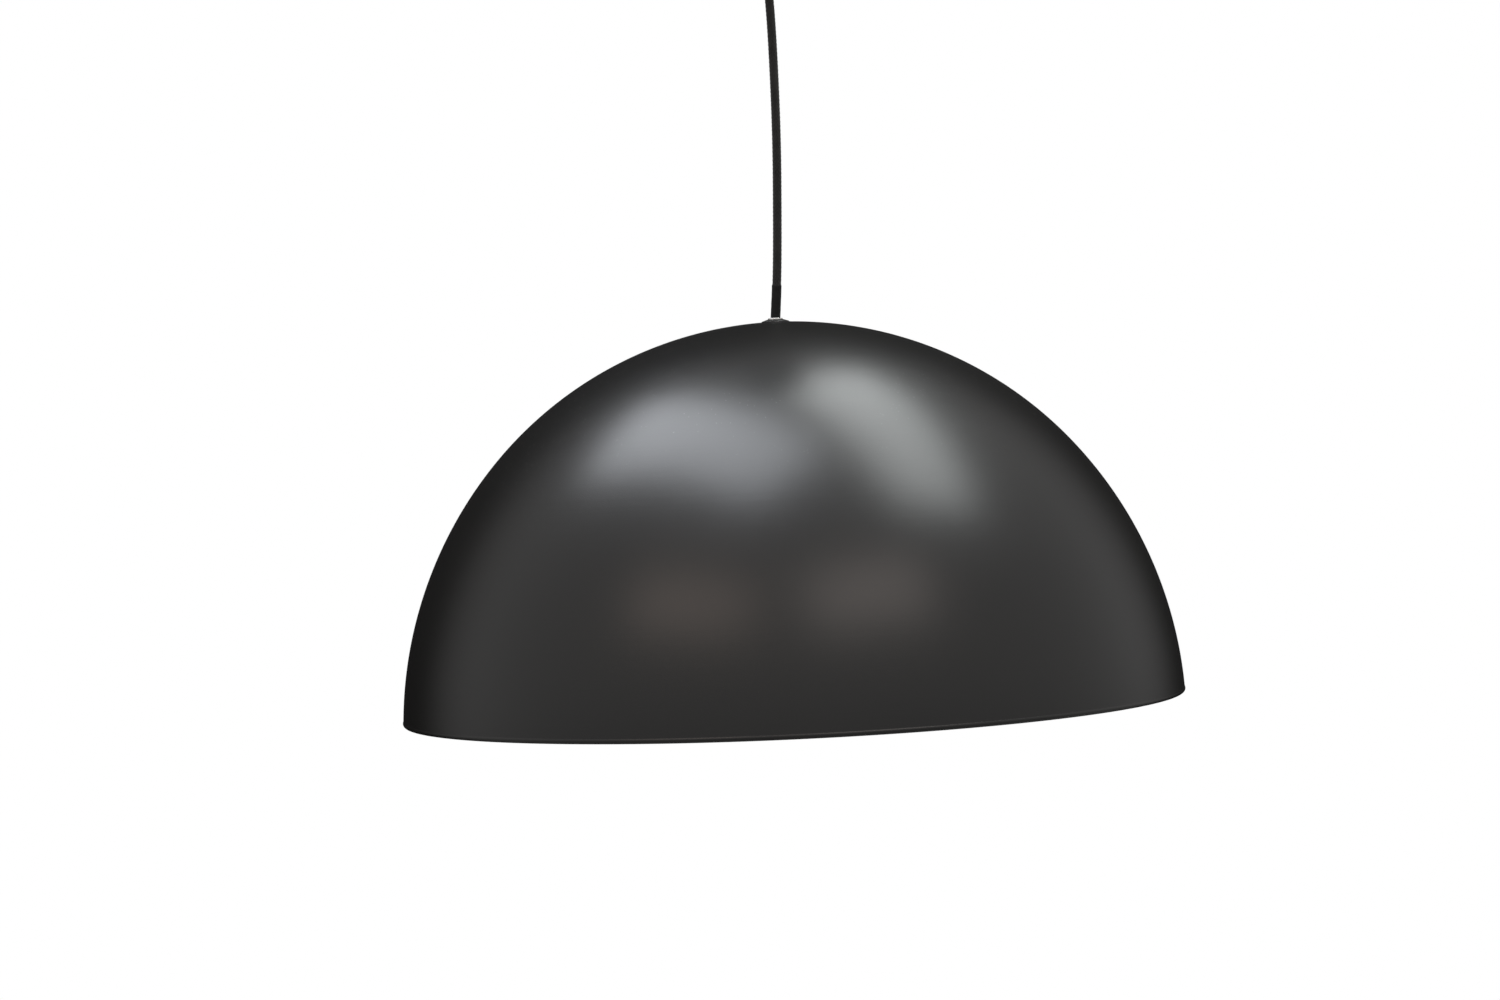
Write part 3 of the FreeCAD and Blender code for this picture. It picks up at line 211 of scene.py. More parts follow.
def skin(rings):
    """A closed skin over rings of equal count: its points, ring after ring, and its faces."""
    count = len(rings[0])
    points = [point for ring in rings for point in ring]
    faces = []
    for row in range(len(rings) - 1):
        for step in range(count):
            side = (step + 1) % count
            low, high = row * count, (row + 1) * count
            faces.append((low + step, low + side, high + side, high + step))
    faces.append(tuple(reversed(range(count))))
    faces.append(tuple(range(len(points) - count, len(points))))
    return points, faces


def tube_rings(stations, radius_at, count):
    """Rings of count points round the line; radius_at takes a distance along it and an angle round it."""
    rings = []
    for (spot, heading, distance), (side, across) in zip(stations, sides(stations)):
        ring = []
        for step in range(count):
            angle = 2 * math.pi * step / count
            radius = radius_at(distance, angle)
            ring.append(spot + (side * math.cos(angle) + across * math.sin(angle)) * radius)
        rings.append(ring)
    return rings


# ---------------------------------------------------------------- shared effects

def new_group(name, inputs, outputs):
    """An empty shader group with float inputs and outputs: (tree, its input node, its output node)."""
    tree = bpy.data.node_groups.new(name, "ShaderNodeTree")
    for label, value in inputs:
        socket = tree.interface.new_socket(name=label, in_out="INPUT", socket_type="NodeSocketFloat")
        socket.default_value = value
    for label in outputs:
        tree.interface.new_socket(name=label, in_out="OUTPUT", socket_type="NodeSocketFloat")
    return tree, tree.nodes.new("NodeGroupInput"), tree.nodes.new("NodeGroupOutput")


def texture(tree, kind, scale, **settings):
    """A procedural texture on the piece's own coordinates; scale is a socket, per metre."""
    place = tree.nodes.new("ShaderNodeTexCoord")
    made = tree.nodes.new(kind)
    for key, value in settings.items():
        made.inputs[key].default_value = value
    tree.links.new(place.outputs["Object"], made.inputs["Vector"])
    tree.links.new(scale, made.inputs["Scale"])
    return made


def maths(tree, operation, *values):
    """The result of a sum on values, each a number or a socket."""
    node = tree.nodes.new("ShaderNodeMath")
    node.operation = operation
    for socket, value in zip(node.inputs, values):
        if isinstance(value, (int, float)):
            socket.default_value = value
        else:
            tree.links.new(value, socket)
    return node.outputs[0]


def stretch(tree, value, low, high, to_low=0.0, to_high=1.0):
    """A value's range from low to high, made the range from to_low to to_high and held within it."""
    node = tree.nodes.new("ShaderNodeMapRange")
    for key, number in (("From Min", low), ("From Max", high), ("To Min", to_low), ("To Max", to_high)):
        if isinstance(number, (int, float)):
            node.inputs[key].default_value = number
        else:
            tree.links.new(number, node.inputs[key])
    tree.links.new(value, node.inputs["Value"])
    return node.outputs["Result"]


def grain_group():
    """Fine uneven grain of a coat or a moulding: a height, from -1 to 1."""
    finer, middle, gain = 4.7, 0.75, 2.0
    tree, ins, outs = new_group("coat_grain", [("Scale", 900.0), ("Softness", 0.5)], ["Height"])
    coarse = texture(tree, "ShaderNodeTexNoise", ins.outputs["Scale"], Detail=3.0)
    fine_scale = maths(tree, "MULTIPLY", ins.outputs["Scale"], finer)
    fine = texture(tree, "ShaderNodeTexNoise", fine_scale, Detail=2.0)
    sharp = maths(tree, "SUBTRACT", 1.0, ins.outputs["Softness"])
    both = maths(tree, "ADD", coarse.outputs["Fac"], maths(tree, "MULTIPLY", fine.outputs["Fac"], sharp))
    centred = maths(tree, "SUBTRACT", both, middle)
    tree.links.new(maths(tree, "MULTIPLY", centred, gain), outs.inputs["Height"])
    return tree


def dust_group():
    """Scattered fine specks, in patches, that thin out from the height Full down to Bare: a mask."""
    thin, thick = 0.40, 0.62    # the patches' noise where specks begin, and where they are full-sized
    tree, ins, outs = new_group("dust", [("Scale", 220.0), ("Size", 0.07), ("Patches", 9.0),
                                         ("Bare", -2.0), ("Full", -1.0)], ["Mask"])
    cells = texture(tree, "ShaderNodeTexVoronoi", ins.outputs["Scale"])
    patches = texture(tree, "ShaderNodeTexNoise", ins.outputs["Patches"], Detail=3.0)
    amount = stretch(tree, patches.outputs["Fac"], thin, thick)
    place = tree.nodes.new("ShaderNodeTexCoord")
    split = tree.nodes.new("ShaderNodeSeparateXYZ")
    tree.links.new(place.outputs["Object"], split.inputs[0])
    settled = stretch(tree, split.outputs["Z"], ins.outputs["Bare"], ins.outputs["Full"])
    size = maths(tree, "MULTIPLY", ins.outputs["Size"], maths(tree, "MULTIPLY", amount, settled))
    speck = maths(tree, "LESS_THAN", cells.outputs["Distance"], size)
    tree.links.new(speck, outs.inputs["Mask"])
    return tree


def handling_group():
    """Broad uneven patches, as from polishing and handling: a value from 0 to 1."""
    tree, ins, outs = new_group("handling", [("Scale", 14.0), ("Contrast", 0.3)], ["Value"])
    middle = 0.5
    cloud = texture(tree, "ShaderNodeTexNoise", ins.outputs["Scale"], Detail=5.0, Roughness=0.6)
    low = maths(tree, "SUBTRACT", middle, ins.outputs["Contrast"])
    high = maths(tree, "ADD", middle, ins.outputs["Contrast"])
    tree.links.new(stretch(tree, cloud.outputs["Fac"], low, high), outs.inputs["Value"])
    return tree


def turning_group():
    """Faint rings about Z that spinning or turning leaves: a height, from -1 to 1."""
    low, high = 0.2, 0.8            # the part of the noise's range that is used
    tree, ins, outs = new_group("turning_marks", [("Rings", 600.0), ("Unevenness", 0.5)], ["Height"])
    place = tree.nodes.new("ShaderNodeTexCoord")
    split = tree.nodes.new("ShaderNodeSeparateXYZ")
    tree.links.new(place.outputs["Object"], split.inputs[0])
    squares = maths(tree, "ADD", maths(tree, "POWER", split.outputs["X"], 2.0),
                    maths(tree, "POWER", split.outputs["Y"], 2.0))
    across = maths(tree, "SQRT", squares)
    path = maths(tree, "SUBTRACT", across, split.outputs["Z"])
    rings = tree.nodes.new("ShaderNodeTexNoise")
    rings.noise_dimensions = "1D"
    rings.inputs["Detail"].default_value = 4.0
    tree.links.new(path, rings.inputs["W"])
    tree.links.new(ins.outputs["Rings"], rings.inputs["Scale"])
    tree.links.new(ins.outputs["Unevenness"], rings.inputs["Roughness"])
    tree.links.new(stretch(tree, rings.outputs["Fac"], low, high, -1.0, 1.0), outs.inputs["Height"])
    return tree


GRAIN = grain_group()
DUST = dust_group()
HANDLING = handling_group()
TURNING = turning_group()


class Finish:
    """One material: a Principled shader and the effects that feed it."""

    def __init__(self, name, colour, roughness, **constants):
        self.material = bpy.data.materials.new(name)
        self.material.use_nodes = True
        self.tree = self.material.node_tree
        self.shader = self.tree.nodes["Principled BSDF"]
        self.shader.inputs["Base Color"].default_value = (*colour, 1.0)
        self.shader.inputs["Roughness"].default_value = roughness
        for key, value in constants.items():
            self.shader.inputs[key.replace("_", " ")].default_value = value
        self.normal = None

    def effect(self, group, output, **values):
        """The output of a shared effect, with its inputs set to values."""
        node = self.tree.nodes.new("ShaderNodeGroup")
        node.node_tree = group
        for key, value in values.items():
            node.inputs[key].default_value = value
        return node.outputs[output]

    def tint(self, mask, colour):
        """Blend the base colour towards another where the mask is."""
        mix = self.tree.nodes.new("ShaderNodeMix")
        mix.data_type = "RGBA"
        base = self.shader.inputs["Base Color"]
        if base.is_linked:
            self.tree.links.new(base.links[0].from_socket, mix.inputs["A"])
        else:
            mix.inputs["A"].default_value = base.default_value
        mix.inputs["B"].default_value = (*colour, 1.0)
        self.tree.links.new(mask, mix.inputs["Factor"])
        self.tree.links.new(mix.outputs["Result"], base)
        return self

    def vary_roughness(self, value, low, high):
        """Run the roughness from low to high as value goes from 0 to 1."""
        roughness = stretch(self.tree, value, 0.0, 1.0, low, high)
        self.tree.links.new(roughness, self.shader.inputs["Roughness"])
        return self

    def emboss(self, height, depth):
        """Raise the surface by a height times depth, on top of what is embossed already."""
        bump = self.tree.nodes.new("ShaderNodeBump")
        bump.inputs["Distance"].default_value = depth
        self.tree.links.new(height, bump.inputs["Height"])
        if self.normal:
            self.tree.links.new(self.normal, bump.inputs["Normal"])
        self.normal = bump.outputs["Normal"]
        self.tree.links.new(self.normal, self.shader.inputs["Normal"])
        return self

    def grain(self, scale, depth, softness=0.5):
        return self.emboss(self.effect(GRAIN, "Height", Scale=scale, Softness=softness), depth)

    def rings(self, scale, depth):
        return self.emboss(self.effect(TURNING, "Height", Rings=scale), depth)

    def dust(self, colour, size, scale=220.0, bare=-2.0, full=-1.0):
        return self.tint(self.effect(DUST, "Mask", Size=size, Scale=scale, Bare=bare, Full=full), colour)

    def handled(self, low, high, scale=14.0, contrast=0.3):
        polish = self.effect(HANDLING, "Value", Scale=scale, Contrast=contrast)
        return self.vary_roughness(polish, low, high)

    def patches(self, colour, scale=14.0, contrast=0.3):
        return self.tint(self.effect(HANDLING, "Value", Scale=scale, Contrast=contrast), colour)


# ---------------------------------------------------------------- finishes

def black_coat():
    """Fine-textured black powder coat over spun metal."""
    finish = Finish("black_coat", (0.0050, 0.0048, 0.0047), roughness=0.30)
    finish.patches((0.0075, 0.0070, 0.0065), scale=7.0, contrast=0.25)
    finish.dust((0.16, 0.16, 0.155), size=0.085, scale=300.0,
                bare=rim_z + 70 * MM, full=crown_z - 50 * MM)
    finish.handled(0.285, 0.315, scale=9.0)
    finish.rings(scale=260.0, depth=0.004 * MM).grain(scale=1300.0, depth=0.014 * MM)
    return finish.material


def white_enamel():
    """Half-matt white enamel, a little uneven, inside the shade."""
    finish = Finish("white_enamel", (0.80, 0.80, 0.78), roughness=0.5)
    finish.patches((0.74, 0.735, 0.71), scale=5.0, contrast=0.3)
    finish.handled(0.46, 0.58, scale=11.0)
    finish.rings(scale=200.0, depth=0.006 * MM).grain(scale=1100.0, depth=0.012 * MM)
    return finish.material


def textile():
    """Black woven polyester: dull, a little dusty, with a soft sheen."""
    finish = Finish("black_textile", (0.009, 0.0087, 0.0082), roughness=0.85, Sheen_Weight=0.12,
                    Sheen_Roughness=0.5, Specular_IOR_Level=0.3)
    finish.patches((0.020, 0.019, 0.018), scale=160.0, contrast=0.2)
    finish.dust((0.12, 0.115, 0.11), size=0.10, scale=900.0)
    finish.grain(scale=5200.0, depth=0.05 * MM, softness=0.2)
    return finish.material


def shrink_tube():
    """Smooth black heat-shrink tube."""
    finish = Finish("shrink_tube", (0.004, 0.004, 0.004), roughness=0.36, Specular_IOR_Level=0.2)
    finish.handled(0.30, 0.48, scale=300.0)
    finish.grain(scale=700.0, depth=0.02 * MM)
    return finish.material


def wire(name, colour):
    """A core's smooth coloured insulation."""
    darker = 0.75
    finish = Finish(name, colour, roughness=0.38)
    finish.patches(tuple(channel * darker for channel in colour), scale=220.0)
    finish.grain(scale=1500.0, depth=0.01 * MM)
    return finish.material


def plated(name, colour, roughness, spread=0.1):
    """Plated metal with fine turning marks and uneven polish."""
    darker = 0.82
    finish = Finish(name, colour, roughness, Metallic=1.0)
    finish.patches(tuple(channel * darker for channel in colour), scale=160.0, contrast=0.25)
    finish.handled(roughness - spread / 2, roughness + spread, scale=240.0)
    finish.rings(scale=2600.0, depth=0.003 * MM).grain(scale=4000.0, depth=0.0024 * MM)
    return finish.material


def moulded(name, colour, roughness, scale=1600.0, depth=0.01 * MM):
    """Plastic, ceramic or pressed glass from a mould, a little uneven in colour and polish."""
    paler = 1.35
    finish = Finish(name, colour, roughness)
    finish.patches(tuple(channel * paler for channel in colour), scale=60.0, contrast=0.25)
    finish.handled(roughness - 0.06, roughness + 0.08, scale=90.0)
    finish.grain(scale, depth)
    return finish.material


def fibre():
    """Red vulcanised fibre, dull and mottled."""
    finish = Finish("red_fibre", (0.20, 0.065, 0.04), roughness=0.75)
    finish.patches((0.13, 0.05, 0.035), scale=420.0, contrast=0.2)
    finish.grain(scale=3500.0, depth=0.03 * MM, softness=0.2)
    return finish.material


def clear_glass():
    """Clear blown glass with a faint waviness."""
    finish = Finish("clear_glass", (0.98, 0.99, 0.99), roughness=0.02, IOR=1.45, Transmission_Weight=1.0)
    finish.grain(scale=60.0, depth=0.02 * MM, softness=0.9)
    return finish.material


def phosphor():
    """The filaments' yellow coat."""
    finish = Finish("yellow_phosphor", (0.90, 0.52, 0.06), roughness=0.55)
    finish.patches((0.80, 0.38, 0.04), scale=500.0)
    finish.grain(scale=3800.0, depth=0.03 * MM)
    return finish.material


FINISHES = {
    "black_metal": black_coat(),
    "white_enamel": white_enamel(),
    "textile": textile(),
    "shrink": shrink_tube(),
    "brown_wire": wire("brown_wire", (0.12, 0.045, 0.02)),
    "blue_wire": wire("blue_wire", (0.02, 0.09, 0.38)),
    "zinc": plated("zinc_plate", (0.36, 0.37, 0.39), roughness=0.34, spread=0.16),
    "nickel": plated("nickel_plate", (0.72, 0.70, 0.67), roughness=0.16),
    "brass": plated("brass", (0.74, 0.53, 0.24), roughness=0.28, spread=0.14),
    "black_plastic": moulded("black_moulding", (0.010, 0.010, 0.010), roughness=0.38),
    "white_plastic": moulded("white_moulding", (0.44, 0.44, 0.42), roughness=0.42),
    "steatite": moulded("steatite", (0.62, 0.59, 0.52), roughness=0.55, scale=2400.0, depth=0.02 * MM),
    "fibre": fibre(),
    "glass": clear_glass(),
    "black_glass": moulded("black_glass", (0.012, 0.006, 0.014), roughness=0.12, scale=300.0,
                           depth=0.02 * MM),
    "filament": phosphor(),
}
SLOT_OF = {entry["node"]: entry["material_slot"] for entry in frame["record"]["subparts"]}


def dress_frame():
    """Give every part of the frame its finish."""
    for name, thing in nodes.items():
        finish = FINISHES[SLOT_OF[name]]
        if not thing.material_slots:
            thing.data.materials.append(finish)
        for held in thing.material_slots:
            held.material = finish


# ---------------------------------------------------------------- shade

def make_shade():
    """The spun dome: black outside and round its rolled rim, white inside."""
    meet = math.degrees(math.atan2(CROWN_CENTRE + SIDE_ARC_LOW, SIDE_ARC_BACK))
    foot = -SIDE_ARC_BACK + math.sqrt(SIDE_ARC ** 2 - (HEM + SIDE_ARC_LOW) ** 2)
    hem_x = foot + HEM_PROUD - HEM
    hem_start, hem_end = 34.0, -290.0       # degrees: the rim rolls inward, under itself and up
    arc_steps, hem_steps, turn_steps = 44, 36, 224
    outer_low = HEM + HEM * math.sin(math.radians(hem_start))
    inner_low = HEM + HEM * math.sin(math.radians(hem_end))

    def skin_arcs(inset, low):
        """The outline a given way inside the outer skin, from a level over the foot to the stem hole."""
        side, crown = SIDE_ARC - inset, CROWN_ARC - inset
        start = math.degrees(math.asin((low + SIDE_ARC_LOW) / side))
        end = math.degrees(math.acos(STEM_HOLE / crown))
        return (arc(-SIDE_ARC_BACK, -SIDE_ARC_LOW, side, start, meet, arc_steps)
                + arc(0.0, CROWN_CENTRE, crown, meet, end, arc_steps)[1:])

    hem = arc(hem_x, HEM, HEM, hem_start, hem_end, hem_steps)
    outer = skin_arcs(0.0, outer_low)
    inner = skin_arcs(SHEET, inner_low)
    dome = lathe("dome_shade", [(list(reversed(outer)) + hem, 0), (inner, 1)],
                 [FINISHES["black_metal"], FINISHES["white_enamel"]], steps=turn_steps, base=rim_z,
                 crease=24.0)
    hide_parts("shade")
    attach(dome, SHADE)


# ---------------------------------------------------------------- cord

def cord_line():
    """The cord's smooth line, from the collar's mouth up to the grip's, short of its two bends."""
    low = Vector((0, 0, crown_z + TILT_HEIGHT))
    high = Vector((0, 0, grip_low.z + SWING_HEIGHT))
    route = [Vector((x, 0, crown_z + height)) for x, height in CORD_ROUTE]
    low += (route[0] - low).normalized() * BEND_REACH
    high += (route[-1] - high).normalized() * BEND_REACH
    return spline_points([low] + route + [high])


def braid(stations, pitch=22 * MM, per_way=8, middle=2.56 * MM, swing=0.11 * MM,
          half_width=0.73 * MM, half_thick=0.23 * MM):
    """Flat yarns wound both ways round the core, each passing over and under the others."""
    points = []
    faces = []
    crossing = pitch / (2 * per_way)
    corners = 6
    turns = [2 * math.pi * step / corners for step in range(corners)]
    squares = sides(stations)
    for way in (1, -1):
        for number in range(per_way):
            line = []
            outward = []
            for (spot, heading, distance), (side, across) in zip(stations, squares):
                angle = 2 * math.pi * (number / per_way + way * distance / pitch)
                radial = side * math.cos(angle) + across * math.sin(angle)
                lift = middle + way * swing * math.cos(math.pi * distance / crossing)
                line.append(spot + radial * lift)
                outward.append(radial)
            rings = []
            for index, (spot, radial) in enumerate(zip(line, outward)):
                onward = line[min(index + 1, len(line) - 1)] - line[max(index - 1, 0)]
                wide = onward.cross(radial).normalized()
                rings.append([spot + wide * half_width * math.cos(turn)
                              + radial * half_thick * math.sin(turn) for turn in turns])
            yarn_points, yarn_faces = skin(rings)
            offset = len(points)
            points.extend(yarn_points)
            faces.extend(tuple(offset + corner for corner in face) for face in yarn_faces)
    return points, faces


def make_cord():
    """The textile cord and the shrink sleeve at its foot."""
    yarn_spacing, core_spacing, core_radius = 0.36 * MM, 1.5 * MM, 2.42 * MM
    lump_depth, lumps_round, lumps_along = 0.07 * MM, 1.5, 420
    lip_length, lip_depth = 0.8 * MM, 0.28 * MM
    line = cord_line()
    stations = along(line, yarn_spacing)
    points, faces = braid(stations[:-1])    # a little short, to clear the root at full swing
    core = tube_rings(along(line, core_spacing), lambda distance, angle: core_radius, count=16)
    core_points, core_faces = skin(core)
    offset = len(points)
    points.extend(core_points)
    faces.extend(tuple(offset + corner for corner in face) for face in core_faces)
    cord = solid("textile_cord", points, faces, [FINISHES["textile"]], crease=80.0)
    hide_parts("cord")
    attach(cord, "hanging_cord")

    def shrunk(distance, angle):
        """The sleeve follows the braid's lumps and draws in at its upper edge."""
        spot = (math.cos(angle) * lumps_round, math.sin(angle) * lumps_round, distance * lumps_along)
        lump = noise.noise(Vector(spot)) * lump_depth
        lip = max(0.0, (distance - SLEEVE_LENGTH + lip_length) / lip_length)
        return SLEEVE_RADIUS - lump_depth + lump - lip_depth * lip ** 2

    end = next(index for index, station in enumerate(stations) if station[2] > SLEEVE_LENGTH)
    rings = tube_rings(stations[:end], shrunk, count=40)
    sleeve_points, sleeve_faces = skin(rings)
    sleeve = solid("shrink_sleeve_skin", sleeve_points, sleeve_faces, [FINISHES["shrink"]], crease=50.0)
    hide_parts("shrink_sleeve")
    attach(sleeve, "hanging_cord")


# ---------------------------------------------------------------- lampholder and lamp

def make_holder_sleeve():
    """The lampholder's outer sleeve, with grip ribs round its lower part."""
    radius = holder_high.x
    height = holder_high.z - holder_low.z
    wall = 2 * MM
    bore = 14.5 * MM
    bore_top = height - 9 * MM              # the bore widens above it
    belt_foot, belt_low = height - 6 * MM, height - 5 * MM
    ribs, rib_rows, rib_depth, rib_end = 40, 8, 0.55 * MM, 0.4 * MM
    rib_low, rib_high = 4 * MM, height - 8 * MM
    foot_inset, taper = 1.5 * MM, 0.9 * MM
    lip, inner_lip = 1.2 * MM, 0.8 * MM

    def groove(angle, reach, level):
        """How far the outside draws in between two ribs."""
        if reach < bore + wall or not rib_low <= level - holder_low.z <= rib_high + NEAR:
            return 0.0
        return -rib_depth * (0.5 + 0.5 * math.cos(ribs * angle)) ** 2

    def lean(level):
        """The tapered outside's radius at a level."""
        return radius - foot_inset + level / belt_foot * taper

    outside = arc(lean(0) - lip, lip, lip, -90, 0, 6)
    levels = [rib_low - rib_end, rib_low]
    levels += [rib_low + (rib_high - rib_low) * row / rib_rows for row in range(1, rib_rows + 1)]
    outside += [(lean(level), level) for level in levels]
    outside += [(lean(rib_high), rib_high + rib_end), (lean(rib_high), belt_foot)]
    outside += [(radius, belt_low), (radius, height)]
    inside = [(radius - wall, height), (radius - wall, bore_top), (bore, bore_top)]
    inside += arc(bore + inner_lip, inner_lip, inner_lip, 180, 270, 5)
    mesh = lathe("lampholder_sleeve_ribbed", [(outside + inside, 0)], [FINISHES["black_plastic"]],
                 steps=320, base=holder_low.z, swell=groove, crease=30.0)
    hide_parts("lampholder_sleeve")
    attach(mesh, SHADE)


def make_envelope():
    """The lamp's clear glass, drawn up through a curved shoulder to its neck."""
    ball = (glass_high.x - glass_low.x) / 2
    height = glass_high.z - glass_low.z
    neck = 11.3 * MM
    neck_low = height - 8 * MM
    thickness = 0.7 * MM
    leave = 28.0            # degrees above the ball's middle, where the shoulder leaves it
    pull = 0.42             # of the shoulder's length: how far it keeps its direction at each end
    rows = 24

    def wall(inset):
        """One face's outline, a given way inside the outer face, from the lamp's foot to its neck."""
        radius, throat = ball - inset, neck - inset
        lower = arc(0.0, ball, radius, -90, leave, 40)
        spot = Vector(lower[-1])
        goal = Vector((throat, neck_low))
        reach = (goal - spot).length * pull
        slope = math.radians(leave)
        first = spot + Vector((-math.sin(slope), math.cos(slope))) * reach
        second = goal - Vector((0, reach))
        shoulder = []
        for row in range(1, rows + 1):
            t = row / rows
            shoulder.append(tuple(spot * (1 - t) ** 3 + first * 3 * t * (1 - t) ** 2
                                  + second * 3 * t * t * (1 - t) + goal * t ** 3))
        lower[0] = (0.0, ball - radius)
        return lower + shoulder + [(throat, height)]

    outer = wall(0.0)
    inner = list(reversed(wall(thickness)))
    glass = lathe("lamp_envelope", [(outer + inner, 0)], [FINISHES["glass"]], steps=96, base=glass_low.z,
                  crease=60.0)
    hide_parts("lamp_glass")
    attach(glass, "lamp")


def thread_height(angle, level, low, high):
    """The rolled thread at an angle and a level: 0 in its root, 1 on its crest, and fading at its ends."""
    wave = 0.5 + 0.5 * math.cos(2 * math.pi * level / THREAD_PITCH - angle)
    fade = min(1.0, max(0.0, (level - low) / THREAD_FADE), max(0.0, (high - level) / THREAD_FADE))
    return wave * fade


def thread_levels(low, high, per_turn=14):
    """Levels close enough together to show each turn of the thread."""
    count = round((high - low) / THREAD_PITCH * per_turn)
    return [low + (high - low) * step / count for step in range(count + 1)]


def make_threads():
    """The lamp's rolled cap and the lampholder's rolled screw shell, in step with each other."""
    cap_low, cap_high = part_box("lamp_cap")
    root, crest, skirt, bore = 12.3 * MM, 13.05 * MM, 12.9 * MM, 11.4 * MM
    height = cap_high.z - cap_low.z
    top = height - 1.2 * MM
    low, high = 4.6 * MM, top - 0.5 * MM
    skirt_top, bead, bead_level = 3.4 * MM, 0.6 * MM, 3.9 * MM
    shoulder, shoulder_rise = 11.8 * MM, 0.9 * MM
    end_outer, end_inner, end_foot = 11.5 * MM, 11.1 * MM, top - 1 * MM

    def rolled(angle, reach, level):
        """How far the cap's wall stands out in its thread."""
        if abs(reach - root) > NEAR:
            return 0.0
        return (crest - root) * thread_height(angle, level, cap_low.z + low, cap_low.z + high)

    outside = [(skirt, 0.0), (skirt, skirt_top)] + arc(skirt - bead, bead_level, bead, 0, 90, 4)[1:]
    outside += [(root, level) for level in thread_levels(low, high)]
    outside += [(root, top), (shoulder, top + shoulder_rise), (end_outer, height), (end_inner, height)]
    inside = [(end_inner, end_foot), (bore, end_foot), (bore, 0.0)]
    cap = lathe("lamp_cap_rolled", [(outside + inside, 0)], [FINISHES["nickel"]], base=cap_low.z,
                swell=rolled, crease=40.0)
    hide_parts("lamp_cap")
    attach(cap, "lamp")

    shell_low, shell_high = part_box("screw_shell")
    inner, outer, depth, plain = 13.0 * MM, 13.3 * MM, 0.72 * MM, 0.6 * MM

    def pressed(angle, reach, level):
        """How far the shell's wall stands out in its thread, plain at both its ends."""
        return depth * thread_height(angle, level, shell_low.z + plain, shell_high.z - plain)

    levels = thread_levels(0.0, shell_high.z - shell_low.z)
    walls = [(outer, level) for level in levels] + [(inner, level) for level in reversed(levels)]
    shell = lathe("screw_shell_rolled", [(walls, 0)], [FINISHES["nickel"]], base=shell_low.z,
                  swell=pressed, crease=40.0)
    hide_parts("screw_shell")
    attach(shell, SHADE)


# ---------------------------------------------------------------- studio

def soft_light(name, towards, spread, radiance, colour, roll=0.0):
    """A soft panel that faces the shade from the direction towards.

    Spread is its width and height over its distance. Roll, in degrees, turns it in its own plane.
    """
    distance = 3.2
    aim_height = 120 * MM       # above the rim
    steep = 0.7                 # panels higher than this are squared up with Y, the others with Z
    width, height = (distance * share for share in spread)
    lamp = bpy.data.lights.new(name, "AREA")
    lamp.shape = "RECTANGLE"
    lamp.size = width
    lamp.size_y = height
    lamp.energy = radiance * math.pi * width * height
    lamp.color = colour
    panel = bpy.data.objects.new(name, lamp)
    bpy.context.scene.collection.objects.link(panel)
    middle = Vector((0, 0, rim_z + aim_height))
    away = Vector(towards).normalized()
    across = (Vector((0, 1, 0)) if away.z > steep else UP).cross(away).normalized()
    turn = math.radians(roll)
    wide = across * math.cos(turn) + away.cross(across) * math.sin(turn)
    panel.matrix_world = (Matrix.Translation(middle + away * distance)
                          @ Matrix((wide, away.cross(wide), away)).transposed().to_4x4())
    panel.visible_camera = False


def make_world():
    """A plain white backdrop, and for the light on the shade a soft room that darkens behind it."""
    room_strength, back_strength = 0.60, 0.008
    # it darkens rearward, with a slant to one side, and is dimmer below
    slant, fade_start, fade_end = 0.10, 0.39, 0.74
    below_share, below_start, below_end = 0.50, 0.05, -0.30
    world = bpy.data.worlds.new("studio")
    bpy.context.scene.world = world
    world.use_nodes = True
    tree = world.node_tree
    place = tree.nodes.new("ShaderNodeTexCoord")
    split = tree.nodes.new("ShaderNodeSeparateXYZ")
    tree.links.new(place.outputs["Generated"], split.inputs[0])
    room = tree.nodes["Background"]
    room.inputs["Color"].default_value = (1.0, 0.99, 0.985, 1.0)
    sideways = maths(tree, "MULTIPLY", split.outputs["X"], slant)
    rearward = maths(tree, "SUBTRACT", split.outputs["Y"], sideways)
    behind = stretch(tree, rearward, fade_start, fade_end, room_strength, back_strength)
    above = stretch(tree, split.outputs["Z"], below_end, below_start, below_share, 1.0)
    tree.links.new(maths(tree, "MULTIPLY", behind, above), room.inputs["Strength"])
    backdrop = tree.nodes.new("ShaderNodeBackground")
    backdrop.inputs["Color"].default_value = (1.0, 1.0, 1.0, 1.0)
    backdrop.inputs["Strength"].default_value = 1.0
    path = tree.nodes.new("ShaderNodeLightPath")
    mix = tree.nodes.new("ShaderNodeMixShader")
    tree.links.new(path.outputs["Is Camera Ray"], mix.inputs["Fac"])
    tree.links.new(room.outputs[0], mix.inputs[1])
    tree.links.new(backdrop.outputs[0], mix.inputs[2])
    tree.links.new(mix.outputs[0], tree.nodes["World Output"].inputs["Surface"])


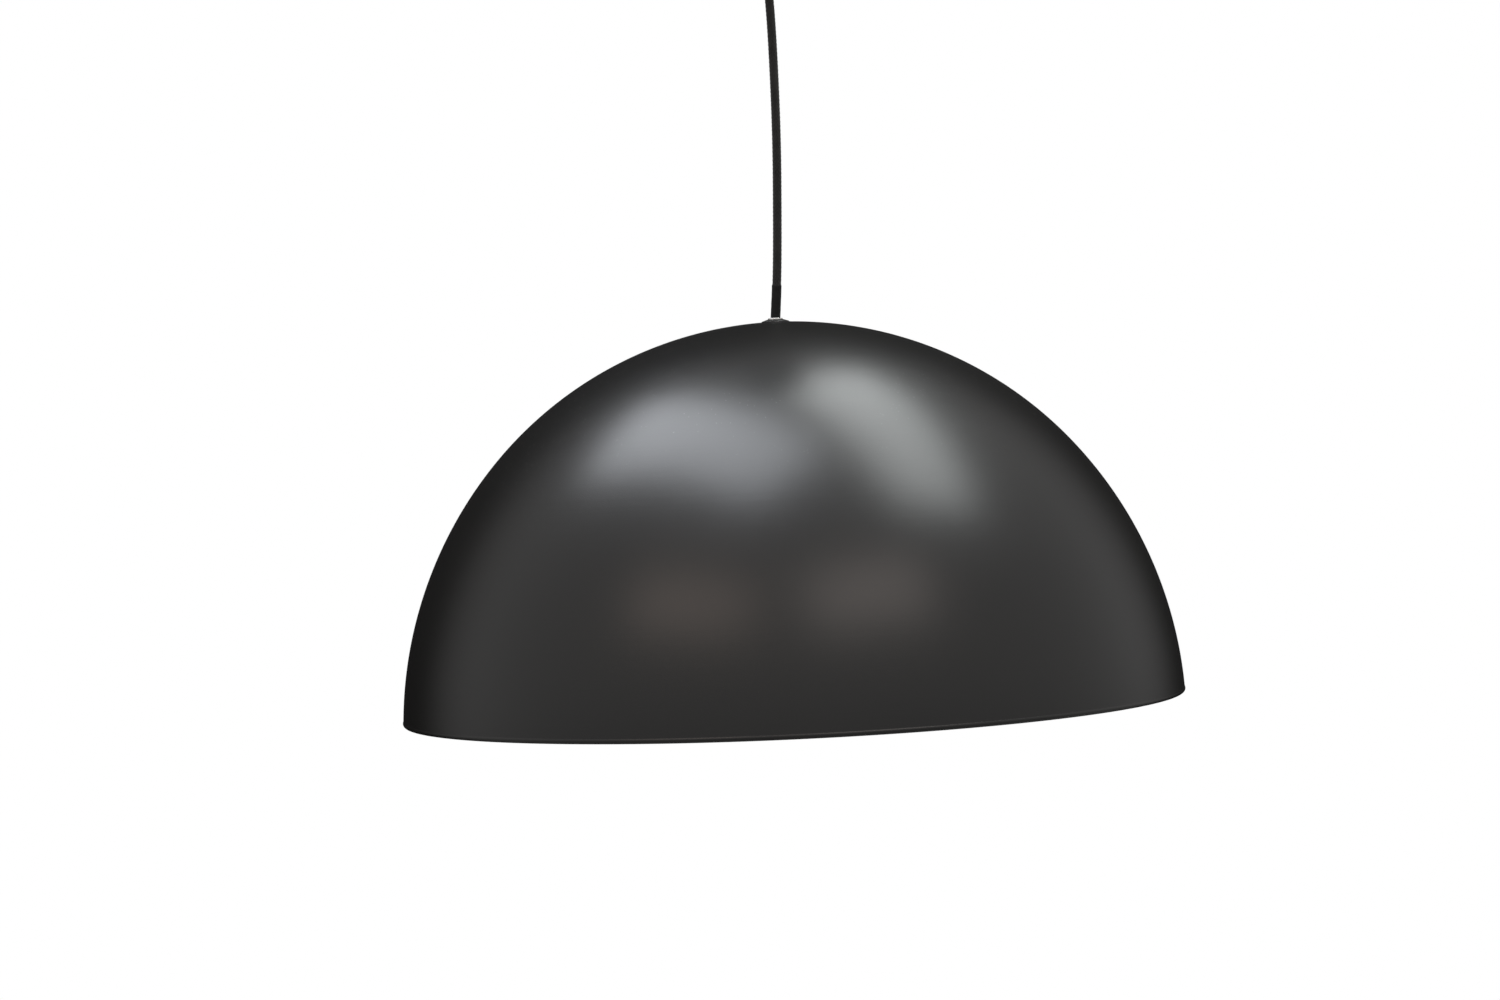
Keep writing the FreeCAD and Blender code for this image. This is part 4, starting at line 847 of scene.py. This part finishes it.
def make_lights():
    """Two cool panels overhead, two warm ones in front, and the room round them."""
    soft_light("left_panel", (-0.282, -0.006, 0.959), spread=(0.96, 0.44), radiance=6.7,
               colour=(0.90, 0.94, 1.0), roll=-50)
    soft_light("right_panel", (0.381, 0.084, 0.920), spread=(0.91, 0.39), radiance=6.2,
               colour=(0.955, 1.0, 1.0), roll=128)
    soft_light("room_left", (-0.445, -0.723, 0.529), spread=(0.60, 0.25), radiance=1.6,
               colour=(1.0, 0.80, 0.70))
    soft_light("room_right", (0.351, -0.754, 0.556), spread=(0.60, 0.28), radiance=2.0,
               colour=(1.0, 0.88, 0.82))
    make_world()
    bpy.context.scene.view_settings.view_transform = "Standard"


def make_floor():
    """A plain pale round floor, a room's height below the ceiling."""
    radius, height = 8.0, -2.75
    count = 96
    angles = [2 * math.pi * step / count for step in range(count)]
    ring = [(radius * math.cos(angle), radius * math.sin(angle), height) for angle in angles]
    pale = Finish("pale_floor", (0.80, 0.80, 0.79), roughness=0.8)
    pale.patches((0.76, 0.76, 0.75), scale=1.5)
    floor = solid("floor", ring, [tuple(range(count))], [pale.material])
    floor.visible_glossy = False


def make_camera():
    """Level with the shade and rolled a little, with the shade low in the frame."""
    lens, sensor = 70.0, 36.0       # mm
    lift, roll = math.radians(0.42), math.radians(-2.71)
    distance = 1.884
    aim_right, aim_down = 0.0295, 0.1469    # of the view's width, from its centre to the shade's foot
    back = Vector((0, -math.cos(lift), math.sin(lift)))
    level = Vector((0, math.sin(lift), math.cos(lift)))
    right = Vector((1, 0, 0)) * math.cos(roll) + level * math.sin(roll)
    top = level * math.cos(roll) - Vector((1, 0, 0)) * math.sin(roll)
    reach = sensor / lens
    ray = (-back + right * aim_right * reach - top * aim_down * reach).normalized()
    foot = Vector((0, 0, rim_z - SIDE_ARC_LOW))
    data = bpy.data.cameras.new("camera")
    data.lens = lens
    data.sensor_width = sensor
    camera = bpy.data.objects.new("camera", data)
    bpy.context.scene.collection.objects.link(camera)
    turned = Matrix((right, top, back)).transposed().to_4x4()
    camera.matrix_world = Matrix.Translation(foot - ray * distance) @ turned
    bpy.context.scene.camera = camera


# ---------------------------------------------------------------- the whole light

dress_frame()
make_shade()
make_cord()
make_holder_sleeve()
make_envelope()
make_threads()
make_floor()
make_lights()
make_camera()
